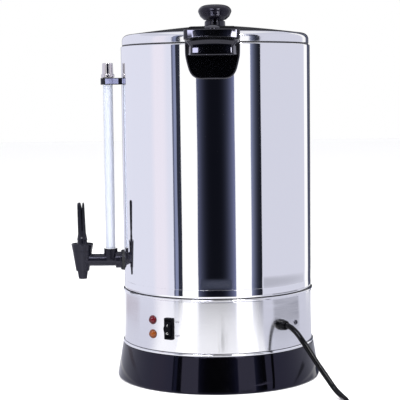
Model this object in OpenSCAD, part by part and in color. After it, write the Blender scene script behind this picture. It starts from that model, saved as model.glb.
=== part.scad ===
// Hot water urn: a polished steel tank on a brushed steel housing and a black base, with a lift-off lid,
// two side handles, a lever tap with a level gauge, a rocker switch, two pilot lamps and a mains lead.
// Frame: +Z up, origin on the urn's axis in the plane it stands on. The tap faces -Y, the handles are at
// +X and -X. Angles around the urn are counted from +X towards +Y.

/* [Tank] */
// Outer radius of the polished tank wall
tank_r = 140; // [130:1:150]
// Height of the polished tank wall
tank_h = 358; // [330:1:420]
// Thickness of the steel sheet
sheet = 0.8; // [0.6:0.1:1.2]
// Radius of the rolled bead at the rim
bead_r = 1.8; // [1.4:0.1:2.4]
// Depth of the groove that the tank floor sits in
groove_depth = 1.6; // [1:0.1:2]
// Height of the flat bottom of that groove
groove_h = 11; // [9:0.5:14]
// Height from the tank's lower edge to the groove
groove_rise = 5.5; // [3:0.5:6]
// Thickness of the tank floor
floor_t = 1; // [0.8:0.1:1.5]

/* [Base and housing] */
// Height of the black base
base_h = 52; // [44:1:64]
// How far the trim ring and the top of the base stand out from the housing
trim_step = 2.4; // [1.4:0.1:4]
// How far the base flares out from its top to its foot
base_flare = 8.6; // [7:0.1:14]
// Wall thickness of the base
base_wall = 3; // [2.5:0.1:4]
// Depth of the bottom cover inside the base
cover_recess = 7; // [6.5:0.5:10]
// Thickness of the bottom cover
cover_t = 2; // [1.5:0.1:3]
// Height of the bright trim ring
trim_h = 4; // [3:0.5:6]
// Height of the brushed lower housing
housing_h = 74.2; // [70:0.1:90]
// How far the housing stands proud of the tank wall
housing_step = 1; // [0.5:0.1:1.4]
// Height of the bright bead under the tank wall
seam_h = 3.8; // [3:0.1:5]
// Height of the open gap between that bead and the tank wall
seam_gap = 0.6; // [0.4:0.1:1]
// Radius of the rubber feet
foot_r = 9; // [7:0.5:12]
// Distance from the tank wall in to the circle of feet and tie rods
foot_inset = 22; // [20:1:30]
// Radius of the tie rods
rod_r = 2.5; // [2:0.1:3]

/* [Heater] */
// Radius of the heat-spreading plate
plate_r = 80; // [72:1:90]
// Thickness of the heat-spreading plate
plate_t = 5; // [4:0.5:8]
// Ring radius of the boiling element
boil_ring_r = 64; // [58:1:68]
// Tube radius of the boiling element
boil_tube_r = 4; // [3:0.25:4.5]
// Ring radius of the keep-warm element
warm_ring_r = 42; // [38:1:48]
// Tube radius of the keep-warm element
warm_tube_r = 3; // [2.5:0.25:3.5]

/* [Lid] */
// Gap between the tank rim's inside and the lid's locating ring
lid_gap = 0.5; // [0.3:0.1:1]
// Height of the lid's skirt
lid_skirt_h = 12; // [8:1:14]
// Rise of the dome above the skirt
lid_rise = 17; // [14:1:24]
// Radius of the knob
knob_r = 24.8; // [20:0.2:28]
// Height of the knob
knob_h = 22.4; // [19:0.1:28]
// Radius of the knob's foot
knob_foot_r = 15.5; // [13:0.5:17]
// Height of the knob's foot
knob_foot_h = 9.5; // [7:0.5:12]

/* [Handles] */
// Width of each side handle
handle_w = 78; // [70:1:90]
// How far the grip bar stands out from the tank wall
handle_reach = 45; // [40:1:55]
// Height of the handle top above the tank rim
handle_rise = 21; // [18:1:26]
// Thickness of the grip bar
bar_h = 14; // [12:1:18]
// Overall height of the handle
handle_h = 71; // [66:1:80]
// Thickness of the handle's back plate
plate_back_t = 8; // [7:0.5:10]
// Depth of the finger pocket
finger_depth = 19; // [17:1:22]
// Thickness of the hood in front of the fingers
hood_t = 4; // [3.5:0.25:6]

/* [Tap and gauge] */
// Height of the tap's shank above the tank's lower edge
tap_rise = 39; // [38:0.5:42]
// Distance from the tank wall to the tap's axis
tap_reach = 64; // [60:1:80]
// Radius of the shank
shank_r = 9.2; // [8.6:0.1:9.8]
// Wall of the shank and nozzle
tap_wall = 2.2; // [1.8:0.1:2.6]
// Radius of the outlet bore
outlet_r = 4.8; // [4:0.1:5.2]
// Radius of the bonnet
bonnet_r = 16.8; // [15:0.1:18]
// Height of the bonnet
bonnet_h = 10.7; // [10:0.1:14]
// Height of the lever above the bonnet's neck
lever_h = 57; // [50:1:70]
// Angle of the lever at full opening
lever_swing = 30; // [24:1:32]
// Distance from the tank wall to the gauge tube's axis
gauge_reach = 21; // [20:0.5:23]
// Outer radius of the gauge tube
gauge_r = 7.2; // [6.5:0.1:7.6]
// Wall thickness of the gauge tube
gauge_wall = 1.8; // [1.2:0.1:2.2]
// Height of the gauge bracket below the tank rim
bracket_drop = 45.5; // [40:0.5:80]
// Height of the gauge bracket
bracket_h = 10; // [8:0.5:14]

/* [Switch and lamps] */
// Angle around the urn of the switch
switch_az = -28; // [-30:1:-22]
// Angle around the urn of the lamps
lamp_az = -40; // [-50:1:-39]
// Height of the switch, and of the middle between the lamps
control_z = 90; // [88:1:94]
// Distance between the two lamps
lamp_pitch = 20.4; // [18:0.2:22]
// Radius of a lamp's lens
lens_r = 6.5; // [6:0.1:7]
// Width of the switch bezel
bezel_w = 14.4; // [14:0.1:16]
// Height of the switch bezel
bezel_h = 31; // [29:0.5:34]
// Thickness of the switch bezel
bezel_t = 2.8; // [2:0.1:3.2]
// Tilt of the rocker to each side
rocker_tilt = 10; // [7:0.5:11]

/* [Mains lead] */
// Angle around the urn of the cable gland
gland_az = 41; // [38:1:44]
// Height of the cable gland
gland_z = 92; // [88:1:96]
// Radius of the gland's flange
gland_r = 8; // [7:0.25:9]
// Angle around the urn of the earth screw
earth_az = 54; // [50:1:60]

/* [Hidden] */
$fn = 96;

// Heights of the stack
trim_z = base_h;
housing_z = trim_z + trim_h;
seam_z = housing_z + housing_h;
tank_z = seam_z + seam_h;
rim_z = tank_z + tank_h;
tap_z = tank_z + tap_rise;

// Tank wall and floor
tank_in_r = tank_r - sheet;
ramp = 3.5;
groove_z = tank_z + groove_rise + ramp;
groove_top = groove_z + groove_h;
floor_r = tank_in_r - groove_depth;
floor_z = groove_top - floor_t;
floor_skirt = groove_h - 1;
bead_mid_r = tank_r - bead_r;
bead_mid_z = rim_z - bead_r;
rim_in_r = bead_mid_r - bead_r;

// Housing, trim and base
housing_r = tank_r + housing_step;
housing_in_r = housing_r - sheet;
base_top_r = housing_r + trim_step;
base_foot_r = base_top_r + base_flare;
seam_lip = 1.2;
seam_seat_r = tank_in_r + sheet / 2;
ring_in_r = housing_r - 9;
foot_round = 4;
rim_flat = 4;
cover_r = base_foot_r - foot_round - rim_flat;
cover_gap = 0.3;
cover_z = cover_recess;
cover_top = cover_z + cover_t;
ledge_t = 2.5;
ledge_w = 7;
base_flange_t = 3;
shield_z = control_z + lamp_pitch / 2 + 18;
shield_t = 1;
shield_r = housing_in_r - 6;
nut_h = 3;
nut_r = 4.4;
rod_turn = 0;
foot_circle_r = tank_r - foot_inset;
plug_hole_r = 3;

// Heater
plate_z = floor_z - plate_t;
pin_len = 14;
element_gap = 30;
sensor_r = 8;
sensor_h = 8;
sensor_off = 18;
terminal_pitch = 8;
block_in_r = 60;
block_size = [34, 22, 16];

// Lid: the outline of the upper side, from the skirt to the middle, then the same less the sheet
lid_z = rim_z;
lid_r = bead_mid_r;
lid_top = lid_z + lid_skirt_h + lid_rise;
lid_ring_r = rim_in_r - lid_gap;
lid_ring_drop = 8;
lid_flat_r = knob_foot_r + 1.5;
shoulder_r = 9;
shoulder_n = 5;
dome_n = 9;
dome_bulge = 1.3;
dome_edge_r = lid_r - shoulder_r;
shoulder_rise = 5;
dome_edge_z = lid_z + lid_skirt_h + shoulder_rise;
function dome_r(i) = dome_edge_r + (lid_flat_r - dome_edge_r) * i / dome_n;
function dome_z(r) = dome_edge_z
    + (lid_top - dome_edge_z) * (1 - pow((r - lid_flat_r) / (dome_edge_r - lid_flat_r), dome_bulge));
lid_outer = concat(
    [[lid_r, lid_z]],
    [for (i = [0 : shoulder_n])
        let (a = i * 78 / shoulder_n)
        [dome_edge_r + shoulder_r * cos(a), dome_edge_z + shoulder_r * (sin(a) - 1)]],
    [for (i = [1 : dome_n]) [dome_r(i), dome_z(dome_r(i))]],
    [[0, lid_top]]
);
// Underside of the dome above the locating ring
ring_top_z = dome_edge_z - shoulder_r - sheet;

// Handles
handle_x = tank_r + handle_reach;
handle_top = rim_z + handle_rise;
handle_bottom = handle_top - handle_h;
bar_z = handle_top - bar_h;
back_x = tank_r + plate_back_t;
hood_x = back_x + finger_depth + hood_t;
hood_bottom = bar_z - 27.5;
scoop_z = bar_z - 13;
hood_half = 27;
lip_h = 4.5;
lip_out = 2.5;
rim_relief = 1;
handle_screw_z = handle_bottom + 17;
handle_screw_az = 6.6;
handle_screw_r = 2.5;
handle_screw_len = 7;
washer_t = 1.5;
washer_r = 5.5;
washer_in_x = sqrt(tank_in_r * tank_in_r - washer_r * washer_r) - washer_t;
screw_head_r = 4.5;
screw_head_h = 3;

// Tap, in its own frame: X points out from the urn's axis and Y to the side
tap_x = tank_r + tap_reach;
washer_out_t = 2.5;
tap_washer_r = 15.5;
flange_t = 2.5;
shoulder_len = 10.5;
shoulder_out_r = 12.4;
bore_r = shank_r - tap_wall;
cup_r = 7.5;
chamber_r = cup_r + 2;
seat_drop = 5;
body_rise = 14.5;
body_drop = 16.5;
seat_z = tap_z - seat_drop;
body_top = tap_z + body_rise;
body_low_z = tap_z - body_drop;
body_low_r = 10;
bonnet_low_r = bonnet_r - 2;
bonnet_top = body_top + bonnet_h;
bonnet_plate = 3;
neck_h = 4.5;
neck_r = 7.4;
neck_top = bonnet_top + neck_h;
nozzle_h = 12;
nozzle_z = body_low_z - nozzle_h;
nozzle_low_r = outlet_r + 1.6;
nozzle_r = nozzle_low_r + 1.7;
run_gap = 0.05;
stem_r = 2.5;
cup_h = 7;
collar_t = 2;
collar_r = 7;
collar_z = seat_z + cup_h;
spring_r = 5.2;
spring_wire_r = 0.6;
spring_turns = 5;
spring_z = collar_z + collar_t;
spring_len = bonnet_top - bonnet_plate - spring_z;
pin_r = 1.2;
lever_gap = 0.4;
lever_foot_r = 8;
lever_z = neck_top + lever_gap;
pin_z = lever_z + 4.5;
lever_foot_h = 11;
lever_top = neck_top + lever_h;
lever_w_low = 11;
lever_w_top = 17;
lever_front = 5.6;
lever_back = 4.8;
lever_notch = 12;
stem_eye_h = 4;
slot_side = stem_r + 0.4;
slot_out = (pin_z - lever_z) * tan(lever_swing) + stem_r / cos(lever_swing) + 0.3;
slot_in = stem_eye_h * sin(lever_swing) + stem_r * cos(lever_swing) + 0.4;
lock_nut_h = 8;
lock_nut_r = 17;
inner_washer_t = 2.7;
shank_end = tank_in_r - inner_washer_t - lock_nut_h - 6;

// Level gauge
gauge_x = tank_r + gauge_reach;
seal_t = 1.4;
boss_r = gauge_r + seal_t + 1.6;
boss_rise = 17.7;
boss_seat_rise = 8;
boss_top = tap_z + boss_rise;
boss_seat = tap_z + boss_seat_rise;
bracket_top = rim_z - bracket_drop;
bracket_z = bracket_top - bracket_h;
eye_r = gauge_r + seal_t + 2.2;
arm_w = 13;
pad_w = 20;
gauge_top = bracket_top + 0.6;
cap_flange_r = 9.9;
cap_flange_h = 5;
cap_r = 8.3;
cap_h = 21.5;
cap_plug_h = 6;
bracket_screw_r = 2;
bracket_screw_len = 10;

// Switch and lamps, in a frame where Z points out of the housing, X down and Y to the side
switch_body_w = bezel_w - 3;
switch_body_h = bezel_h - 4;
switch_depth = 20;
opening_w = switch_body_w - 1.4;
opening_h = switch_body_h - 2.6;
rocker_w = opening_w - 0.4;
rocker_half = 10.6;
rocker_pin_r = 1.2;
rocker_pin_len = opening_w + 0.9;
ridge_out = 8.7;
opening_depth = 8;
terminal_w = 6.3;
terminal_t = 0.8;
terminal_len = 8;
lens_flange_h = 1.2;
lens_dome_h = 4.5;
lamp_body_r = 5;
lamp_body_len = 18;
lamp_hole_r = lamp_body_r;
lamp_nut_r = 8;

// Gland and earth screw
cord_r = 4;
gland_tip_r = 5.4;
gland_len = 12;
gland_flange_h = 3;
gland_thread_r = 6.2;
gland_thread_len = 12;
earth_z = gland_z - 1;
earth_r = 2;
earth_head_r = 3.6;
earth_head_h = 2.2;
earth_len = 10;

// Mains lead: hand-chosen centre points from the gland to the coil, and from the coil to the plug
cord_sides = 8;
coil_x = 306;
coil_y = 124;
coil_turn_r = 51;
cord_exit_r = housing_r + gland_len;
cord_route = concat(
    [for (d = [0, 3]) on_circle(gland_az, cord_exit_r + d, gland_z)],
    [[122, 108, 89], [128, 115, 82.5], [135, 123, 72], [142.5, 133, 57.5],
     [150, 144, 41], [157.5, 155.5, 25], [165, 165, 12], [175, 172.5, 5.5], [190, 177, 4], [210, 179, 4],
     [232, 178.5, 4], [257, 177, 4], [283, 175.5, 4], [coil_x, coil_y + coil_turn_r, 4]]
);
coil_columns = 3;
coil_layers = 2;
tail_x = coil_x + coil_turn_r;
plug_disc_r = 18.5;
tail_route = [
    [tail_x, coil_y, 12], [tail_x, coil_y - 10, 12.5], [tail_x, coil_y - 20, 15.5],
    [tail_x, coil_y - 29, plug_disc_r - 0.6], [tail_x, coil_y - 35, plug_disc_r],
    [tail_x, coil_y - 38, plug_disc_r]
];
plug_disc_h = 16;
plug_grip_len = 26;
plug_sleeve_len = 18;
plug_pin_r = 2.4;
plug_pin_len = 19;
plug_pin_pitch = 19;
plug_len = plug_disc_h + plug_grip_len + plug_sleeve_len;

// ---------------------------------------------------------------- helpers

// Puts children on the wall: their Z axis points outwards at angle az, their X axis points down
module on_wall(az, r, z) {
    rotate([0, 0, az]) translate([r, 0, z]) rotate([0, 90, 0]) children();
}

// Puts children in the tap's frame: their X axis points out from the urn's axis
module tap_frame() {
    rotate([0, 0, -90]) children();
}

// A round bar along X from x0 to x1 at height z
module bar_x(x0, x1, r, z = 0) {
    translate([x0, 0, z]) rotate([0, 90, 0]) cylinder(h = x1 - x0, r = r);
}

// A ring with a square section
module ring(r_out, r_in, h) {
    difference() {
        cylinder(h = h, r = r_out);
        translate([0, 0, -1]) cylinder(h = h + 2, r = r_in);
    }
}

// Corner points of a rectangle with round corners, centred
function round_rect(w, h, r, n = 6) = [
    for (q = [0 : 3], i = [0 : n])
        let (a = q * 90 + i * 90 / n,
             sx = (q == 0 || q == 3) ? 1 : -1,
             sy = (q < 2) ? 1 : -1)
        [sx * (w / 2 - r) + r * cos(a), sy * (h / 2 - r) + r * sin(a)]
];

// A point at a distance from the urn's axis, at angle az and height z
function on_circle(az, r, z) = [r * cos(az), r * sin(az), z];

// Points of an arc about (cx, cy) from angle a0 to a1
function arc(cx, cy, r, a0, a1, n = 6) = [
    for (i = [0 : n]) let (a = a0 + (a1 - a0) * i / n) [cx + r * cos(a), cy + r * sin(a)]
];

// A tube of round section swept along a list of points
function direction(p, i) =
    let (a = p[max(i - 1, 0)], b = p[min(i + 1, len(p) - 1)], d = b - a) d / norm(d);
function side_of(d) = let (s = cross(d, [0.05, 0.02, 1])) s / norm(s);
module swept(points, r, sides) {
    last = len(points) - 1;
    rings = [
        for (i = [0 : last], k = [0 : sides - 1])
            let (d = direction(points, i), s = side_of(d), u = cross(s, d), a = k * 360 / sides)
            points[i] + r * (cos(a) * s + sin(a) * u)
    ];
    walls = [
        for (i = [0 : last - 1], k = [0 : sides - 1])
            let (m = (k + 1) % sides)
            [i * sides + k, i * sides + m, (i + 1) * sides + m, (i + 1) * sides + k]
    ];
    near_end = [[for (k = [sides - 1 : -1 : 0]) k]];
    far_end = [[for (k = [0 : sides - 1]) last * sides + k]];
    polyhedron(points = rings, faces = concat(walls, near_end, far_end), convexity = 6);
}

// ---------------------------------------------------------------- base

// Outline of the base skirt, foot rim to top flange
module base_skirt() {
    ledge_top = cover_top + ledge_t;
    slope = (base_foot_r - base_top_r) / (base_h - foot_round);
    wall_low_r = base_foot_r - base_wall - slope * (ledge_top - foot_round);
    color([0.04, 0.04, 0.045])
    rotate_extrude($fn = 180) polygon(concat(
        [[cover_r, 0]],
        arc(base_foot_r - foot_round, foot_round, foot_round, -90, 0),
        [[base_top_r, base_h - 1], [base_top_r - 0.6, base_h],
         [ring_in_r, base_h], [ring_in_r, base_h - base_flange_t],
         [base_top_r - base_wall, base_h - base_flange_t],
         [wall_low_r, ledge_top], [cover_r - ledge_w, ledge_top],
         [cover_r - ledge_w, cover_top], [cover_r, cover_top]]
    ));
}

// Positions shared by the rods, their nuts and the holes for them
module at_rods(z) {
    for (k = [0 : 2]) rotate([0, 0, rod_turn + k * 120]) translate([foot_circle_r, 0, z]) children();
}

module at_feet(z) {
    for (k = [0 : 3]) rotate([0, 0, 45 + k * 90]) translate([foot_circle_r, 0, z]) children();
}

module bottom_cover() {
    vent_w = 4;
    vent_len = 30;
    color([0.1, 0.1, 0.1])
    difference() {
        translate([0, 0, cover_z]) cylinder(h = cover_t, r = cover_r - cover_gap, $fn = 180);
        at_rods(cover_z - 1) cylinder(h = cover_t + 2, r = rod_r, $fn = 32);
        at_feet(cover_z - 1) cylinder(h = cover_t + 2, r = plug_hole_r, $fn = 32);
        for (k = [0 : 7]) rotate([0, 0, k * 45]) translate([40, -vent_w / 2, cover_z - 1])
            cube([vent_len, vent_w, cover_t + 2]);
    }
}

// Nuts that clamp the bottom cover and the heat shield to the rods
module tie_nuts() {
    color([0.7, 0.7, 0.72]) {
        at_rods(cover_z - nut_h) difference() {
            cylinder(h = nut_h, r = nut_r, $fn = 6);
            translate([0, 0, -1]) cylinder(h = nut_h + 2, r = rod_r, $fn = 32);
        }
        at_rods(shield_z - nut_h) difference() {
            cylinder(h = nut_h, r = nut_r, $fn = 6);
            translate([0, 0, -1]) cylinder(h = nut_h + 2, r = rod_r, $fn = 32);
        }
    }
}

module feet() {
    color([0.05, 0.05, 0.05])
    at_feet(0) {
        cylinder(h = cover_z, r = foot_r, $fn = 48);
        cylinder(h = cover_top, r = plug_hole_r, $fn = 32);
        translate([0, 0, cover_top]) cylinder(h = 2, r = plug_hole_r + 1.2, $fn = 32);
    }
}

module trim_ring() {
    bulge_r = base_top_r;
    color([0.85, 0.85, 0.86])
    translate([0, 0, trim_z])
    rotate_extrude($fn = 180) polygon(concat(
        [[ring_in_r, 0]],
        arc(bulge_r - trim_h / 2, trim_h / 2, trim_h / 2, -90, 90, 8),
        [[ring_in_r, trim_h]]
    ));
}

// ---------------------------------------------------------------- lower housing

module lower_housing() {
    color([0.72, 0.72, 0.74])
    difference() {
        translate([0, 0, housing_z]) rotate_extrude($fn = 180) polygon([
            [ring_in_r, 0], [housing_r, 0], [housing_r, housing_h], [ring_in_r, housing_h],
            [ring_in_r, housing_h - sheet], [housing_in_r, housing_h - sheet],
            [housing_in_r, sheet], [ring_in_r, sheet]
        ]);
        on_wall(switch_az, housing_in_r - 5, control_z)
            linear_extrude(10) square([switch_body_h, switch_body_w], center = true);
        for (s = [-1, 1]) on_wall(lamp_az, housing_in_r - 5, control_z + s * lamp_pitch / 2)
            cylinder(h = 10, r = lamp_hole_r, $fn = 48);
        on_wall(gland_az, housing_in_r - 5, gland_z) cylinder(h = 10, r = gland_thread_r, $fn = 48);
        on_wall(earth_az, housing_in_r - 5, earth_z) cylinder(h = 10, r = earth_r, $fn = 32);
    }
}

// Bead that carries the tank wall, with an open gap between its round edge and the wall
module seam_ring() {
    bead_top = seam_h - seam_gap;
    color([0.85, 0.85, 0.87])
    translate([0, 0, seam_z]) rotate_extrude($fn = 180) polygon([
        [ring_in_r, 0], [housing_r, 0], [housing_r + seam_lip, seam_lip],
        [housing_r + seam_lip, bead_top - seam_lip], [housing_r, bead_top], [seam_seat_r, bead_top],
        [seam_seat_r, seam_h], [ring_in_r, seam_h]
    ]);
}

// ---------------------------------------------------------------- tank

module tank_shell() {
    wall = [
        [0, tank_z], [0, tank_z + groove_rise], [-groove_depth, groove_z],
        [-groove_depth, groove_top], [0, groove_top + ramp], [0, bead_mid_z]
    ];
    outside = [for (p = wall) [tank_r + p[0], p[1]]];
    inside = [for (i = [len(wall) - 1 : -1 : 0]) [tank_in_r + wall[i][0], wall[i][1]]];
    color([0.88, 0.88, 0.9])
    difference() {
        union() {
            rotate_extrude($fn = 180) polygon(concat(outside, inside));
            translate([0, 0, bead_mid_z]) rotate_extrude($fn = 180)
                translate([bead_mid_r, 0]) circle(r = bead_r, $fn = 32);
        }
        on_wall(-90, tank_in_r - 5, tap_z) cylinder(h = 10, r = shank_r, $fn = 64);
        on_wall(-90, tank_in_r - 5, bracket_z + bracket_h / 2)
            cylinder(h = 10, r = bracket_screw_r, $fn = 32);
        at_handle_screws() bar_x(tank_in_r - 5, tank_r + 5, handle_screw_r, $fn = 32);
    }
}

// Pressed floor whose skirt sits in the tank's groove
module tank_floor() {
    color([0.8, 0.8, 0.82])
    translate([0, 0, floor_z]) difference() {
        translate([0, 0, -floor_skirt + floor_t]) cylinder(h = floor_skirt, r = floor_r, $fn = 180);
        translate([0, 0, -floor_skirt]) cylinder(h = floor_skirt, r = floor_r - sheet, $fn = 180);
    }
}

module tie_rods() {
    low = cover_z - nut_h - 1;
    color([0.7, 0.7, 0.72])
    at_rods(low) cylinder(h = floor_z - low, r = rod_r, $fn = 32);
}

// ---------------------------------------------------------------- heater and wiring

module heat_shield() {
    color([0.75, 0.76, 0.78])
    translate([0, 0, shield_z]) difference() {
        cylinder(h = shield_t, r = shield_r, $fn = 120);
        at_rods(-1) cylinder(h = shield_t + 2, r = rod_r, $fn = 32);
        translate([0, 0, -1]) cylinder(h = shield_t + 2, r = 20);
    }
}

module heater_plate() {
    color([0.78, 0.78, 0.8])
    translate([0, 0, plate_z]) cylinder(h = plate_t, r = plate_r, $fn = 120);
}

// A sheathed element bent to an open ring, flattened against the plate, with two terminal pins
module element(ring_r, tube_r, turn) {
    top_cut = tube_r * 0.15;
    mid_z = plate_z - tube_r + top_cut;
    pin_turn = 2;
    rotate([0, 0, turn]) {
        translate([0, 0, mid_z]) rotate_extrude(angle = 360 - element_gap, $fn = 96)
            translate([ring_r, 0]) intersection() {
                circle(r = tube_r, $fn = 32);
                translate([-tube_r - 1, -tube_r - 1])
                    square([2 * tube_r + 2, 2 * tube_r + 1 - top_cut]);
            }
        for (a = [pin_turn, 360 - element_gap - pin_turn]) rotate([0, 0, a])
            translate([ring_r, 0, mid_z - pin_len]) cylinder(h = pin_len, r = tube_r / 2, $fn = 32);
    }
}

module boil_element() {
    color([0.55, 0.5, 0.45]) element(boil_ring_r, boil_tube_r, 15);
}

module keep_warm_element() {
    color([0.55, 0.5, 0.45]) element(warm_ring_r, warm_tube_r, 195);
}

// A snap disc switch under the plate, with a mounting flange and two blade terminals
module snap_switch(x) {
    flange_w = 26;
    translate([x, 0, plate_z]) {
        translate([0, 0, -1]) linear_extrude(1) polygon(round_rect(13, flange_w, 4));
        translate([0, 0, -sensor_h]) cylinder(h = sensor_h - 0.5, r = sensor_r, $fn = 48);
        for (s = [-1, 1]) translate([-terminal_t / 2, s * terminal_pitch / 2 - 2, -sensor_h - terminal_len])
            cube([terminal_t, 4, terminal_len + 1]);
    }
}

module boil_thermostat() {
    color([0.2, 0.2, 0.2]) snap_switch(sensor_off);
}

module dry_boil_cutout() {
    color([0.5, 0.25, 0.2]) snap_switch(-sensor_off);
}

module terminal_block() {
    screw_r = 2.2;
    color([0.9, 0.9, 0.85])
    rotate([0, 0, gland_az]) translate([block_in_r, -block_size[1] / 2, cover_top]) difference() {
        cube(block_size);
        for (s = [1, 2, 3]) translate([s * block_size[0] / 4, block_size[1] / 2, block_size[2] / 2])
            cylinder(h = block_size[2], r = screw_r, $fn = 32);
    }
}

// Sheathed wires between the terminal block, the switch and the snap switches under the plate
module wiring() {
    wire_r = 1.5;
    block_r = block_in_r + block_size[0] / 2;
    block_z = cover_top + block_size[2] + wire_r;
    switch_r = housing_r - switch_depth - terminal_len - 1;
    blade_z = plate_z - sensor_h - terminal_len;
    blade_y = terminal_pitch / 2;
    spread = 5;
    module wire(points) swept(points, wire_r, 8);
    color([0.75, 0.2, 0.15]) {
        wire([
            on_circle(gland_az - spread, block_r, block_z),
            on_circle(gland_az - 2 * spread, block_r, block_z + 12),
            on_circle(gland_az / 2, block_r, (block_z + control_z) / 2),
            on_circle(0, block_r, control_z - 24), on_circle(switch_az, block_r, control_z - 12),
            on_circle(switch_az + spread, (block_r + switch_r) / 2, control_z - 4),
            on_circle(switch_az + spread, switch_r, control_z)
        ]);
        wire([
            on_circle(gland_az + spread, block_r, block_z),
            on_circle(gland_az + spread, block_r + 3, block_z + 16),
            on_circle(gland_az + spread, block_r, control_z - 26),
            on_circle(gland_az, block_r * 0.7, control_z),
            on_circle(gland_az, block_r * 0.3, shield_z - 12),
            [sensor_off * 0.6, blade_y * 1.4, shield_z + 3],
            [sensor_off * 0.9, blade_y, blade_z - 6], [sensor_off, blade_y, blade_z]
        ]);
        wire([
            on_circle(switch_az - spread, switch_r, control_z - 4),
            on_circle(switch_az - spread, block_r, control_z - 14),
            on_circle(switch_az - 2 * spread, block_r * 0.6, control_z - 10),
            on_circle(switch_az - 5 * spread, block_r * 0.25, control_z + 2),
            [-spread, -spread * 2, shield_z - 9],
            [-sensor_off * 0.6, -blade_y * 1.4, shield_z + 3],
            [-sensor_off * 0.9, -blade_y, blade_z - 6], [-sensor_off, -blade_y, blade_z]
        ]);
    }
}

// ---------------------------------------------------------------- handles

// Side view of the grip bar, with a hollow scoop under its front edge
module bar_side() {
    round_r = 4.5;
    rear_x = tank_r - 1;
    scoop_drop = bar_z - scoop_z;
    scoop_in = handle_x - hood_x;
    polygon(concat(
        [[rear_x, scoop_z], [rear_x, handle_top - 0.5]],
        arc(handle_x - round_r, handle_top - round_r - 0.5, round_r, 90, 0),
        [[handle_x, bar_z + 1.2], [handle_x - 0.8, bar_z]],
        [for (i = [1 : 6]) let (a = i * 90 / 6)
            [handle_x - 0.8 - (scoop_in - 0.8) * sin(a), bar_z - scoop_drop * (1 - cos(a))]]
    ));
}

// Front view of the grip bar, narrowing towards the hood under it
module bar_front() {
    half = handle_w / 2;
    round_r = 4;
    polygon(concat(
        arc(half - round_r, handle_top - round_r - 0.5, round_r, 0, 90),
        arc(-half + round_r, handle_top - round_r - 0.5, round_r, 90, 180),
        [[-half, bar_z], [-hood_half, scoop_z], [hood_half, scoop_z], [half, bar_z]]
    ));
}

// Plan of the hood: a trapezoid that opens towards the tank wall
module hood_plan(grow = 0) {
    half = handle_w / 2;
    front = hood_x + grow;
    round_r = 3;
    corner_turn = 60;
    polygon(concat(
        [[tank_r - 1, -half], [tank_r + 3, -half]],
        arc(front - round_r, -hood_half - grow / 2 + round_r, round_r, -corner_turn, 0),
        arc(front - round_r, hood_half + grow / 2 - round_r, round_r, 0, corner_turn),
        [[tank_r + 3, half], [tank_r - 1, half]]
    ));
}

// Front view of the hood, a little narrower at its lower edge
module hood_front() {
    half = handle_w / 2;
    low_half = half - 2.8;
    polygon([
        [half, bar_z + 1], [half, scoop_z], [low_half, hood_bottom],
        [-low_half, hood_bottom], [-half, scoop_z], [-half, bar_z + 1]
    ]);
}

// Front view of the back plate: a shield with round lower corners
module back_front() {
    half = handle_w / 2 - 2;
    corner = 16;
    low_half = half - 5;
    polygon(concat(
        [[half, hood_bottom + 2]],
        arc(low_half - corner, handle_bottom + corner, corner, 0, -90),
        arc(-low_half + corner, handle_bottom + corner, corner, -90, -180),
        [[-half, hood_bottom + 2], [-half, bar_z], [half, bar_z]]
    ));
}

module handle_solid() {
    bump_r = 11;
    bump_h = 4;
    bump_ball = (bump_r * bump_r + bump_h * bump_h) / (2 * bump_h);
    bump_x = handle_x - bump_r - 4;
    difference() {
        union() {
            intersection() {
                translate([0, handle_w / 2, 0]) rotate([90, 0, 0]) linear_extrude(handle_w) bar_side();
                translate([tank_r - 1, 0, 0]) rotate([90, 0, 90])
                    linear_extrude(handle_reach + 2) bar_front();
            }
            intersection() {
                union() {
                    translate([0, 0, hood_bottom]) linear_extrude(bar_z - hood_bottom + 1) hood_plan();
                    translate([0, 0, hood_bottom]) linear_extrude(lip_h) hood_plan(lip_out);
                }
                translate([tank_r - 1, 0, 0]) rotate([90, 0, 90])
                    linear_extrude(handle_reach + 2) hood_front();
            }
            translate([tank_r - 1, 0, 0]) rotate([90, 0, 90]) linear_extrude(plate_back_t + 1) back_front();
            intersection() {
                translate([bump_x, 0, handle_top - 0.5 + bump_h - bump_ball]) sphere(r = bump_ball);
                translate([bump_x - bump_r - 1, -bump_r - 1, handle_top - 2])
                    cube([2 * bump_r + 2, 2 * bump_r + 2, bump_h + 2]);
            }
        }
        // finger pocket, open at the bottom
        translate([back_x, 0, hood_bottom - 1]) linear_extrude(bar_z - hood_bottom + 1) polygon([
            [0, -handle_w / 2 + hood_t + 3], [finger_depth, -hood_half + hood_t],
            [finger_depth, hood_half - hood_t], [0, handle_w / 2 - hood_t - 3]
        ]);
        // seat on the tank wall, and room for the rim bead
        translate([0, 0, handle_bottom - 1]) cylinder(h = handle_h + 10, r = tank_r, $fn = 180);
        translate([0, 0, rim_z - 3 * bead_r]) cylinder(h = handle_h, r = tank_r + rim_relief, $fn = 180);
        for (s = [-1, 1]) rotate([0, 0, s * handle_screw_az])
            bar_x(tank_r - 5, tank_r + handle_screw_len, handle_screw_r, handle_screw_z, $fn = 32);
    }
}

module handle_right() {
    color([0.05, 0.05, 0.055]) handle_solid();
}

module handle_left() {
    color([0.05, 0.05, 0.055]) rotate([0, 0, 180]) handle_solid();
}

// Positions of the handle screws, which point at the urn's axis
module at_handle_screws() {
    for (az = [0, 180], s = [-1, 1]) rotate([0, 0, az + s * handle_screw_az])
        translate([0, 0, handle_screw_z]) children();
}

module handle_screws() {
    color([0.8, 0.8, 0.82])
    at_handle_screws() {
        bar_x(washer_in_x, tank_r + handle_screw_len, handle_screw_r, $fn = 32);
        bar_x(washer_in_x - screw_head_h, washer_in_x, screw_head_r, $fn = 32);
    }
}

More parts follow.
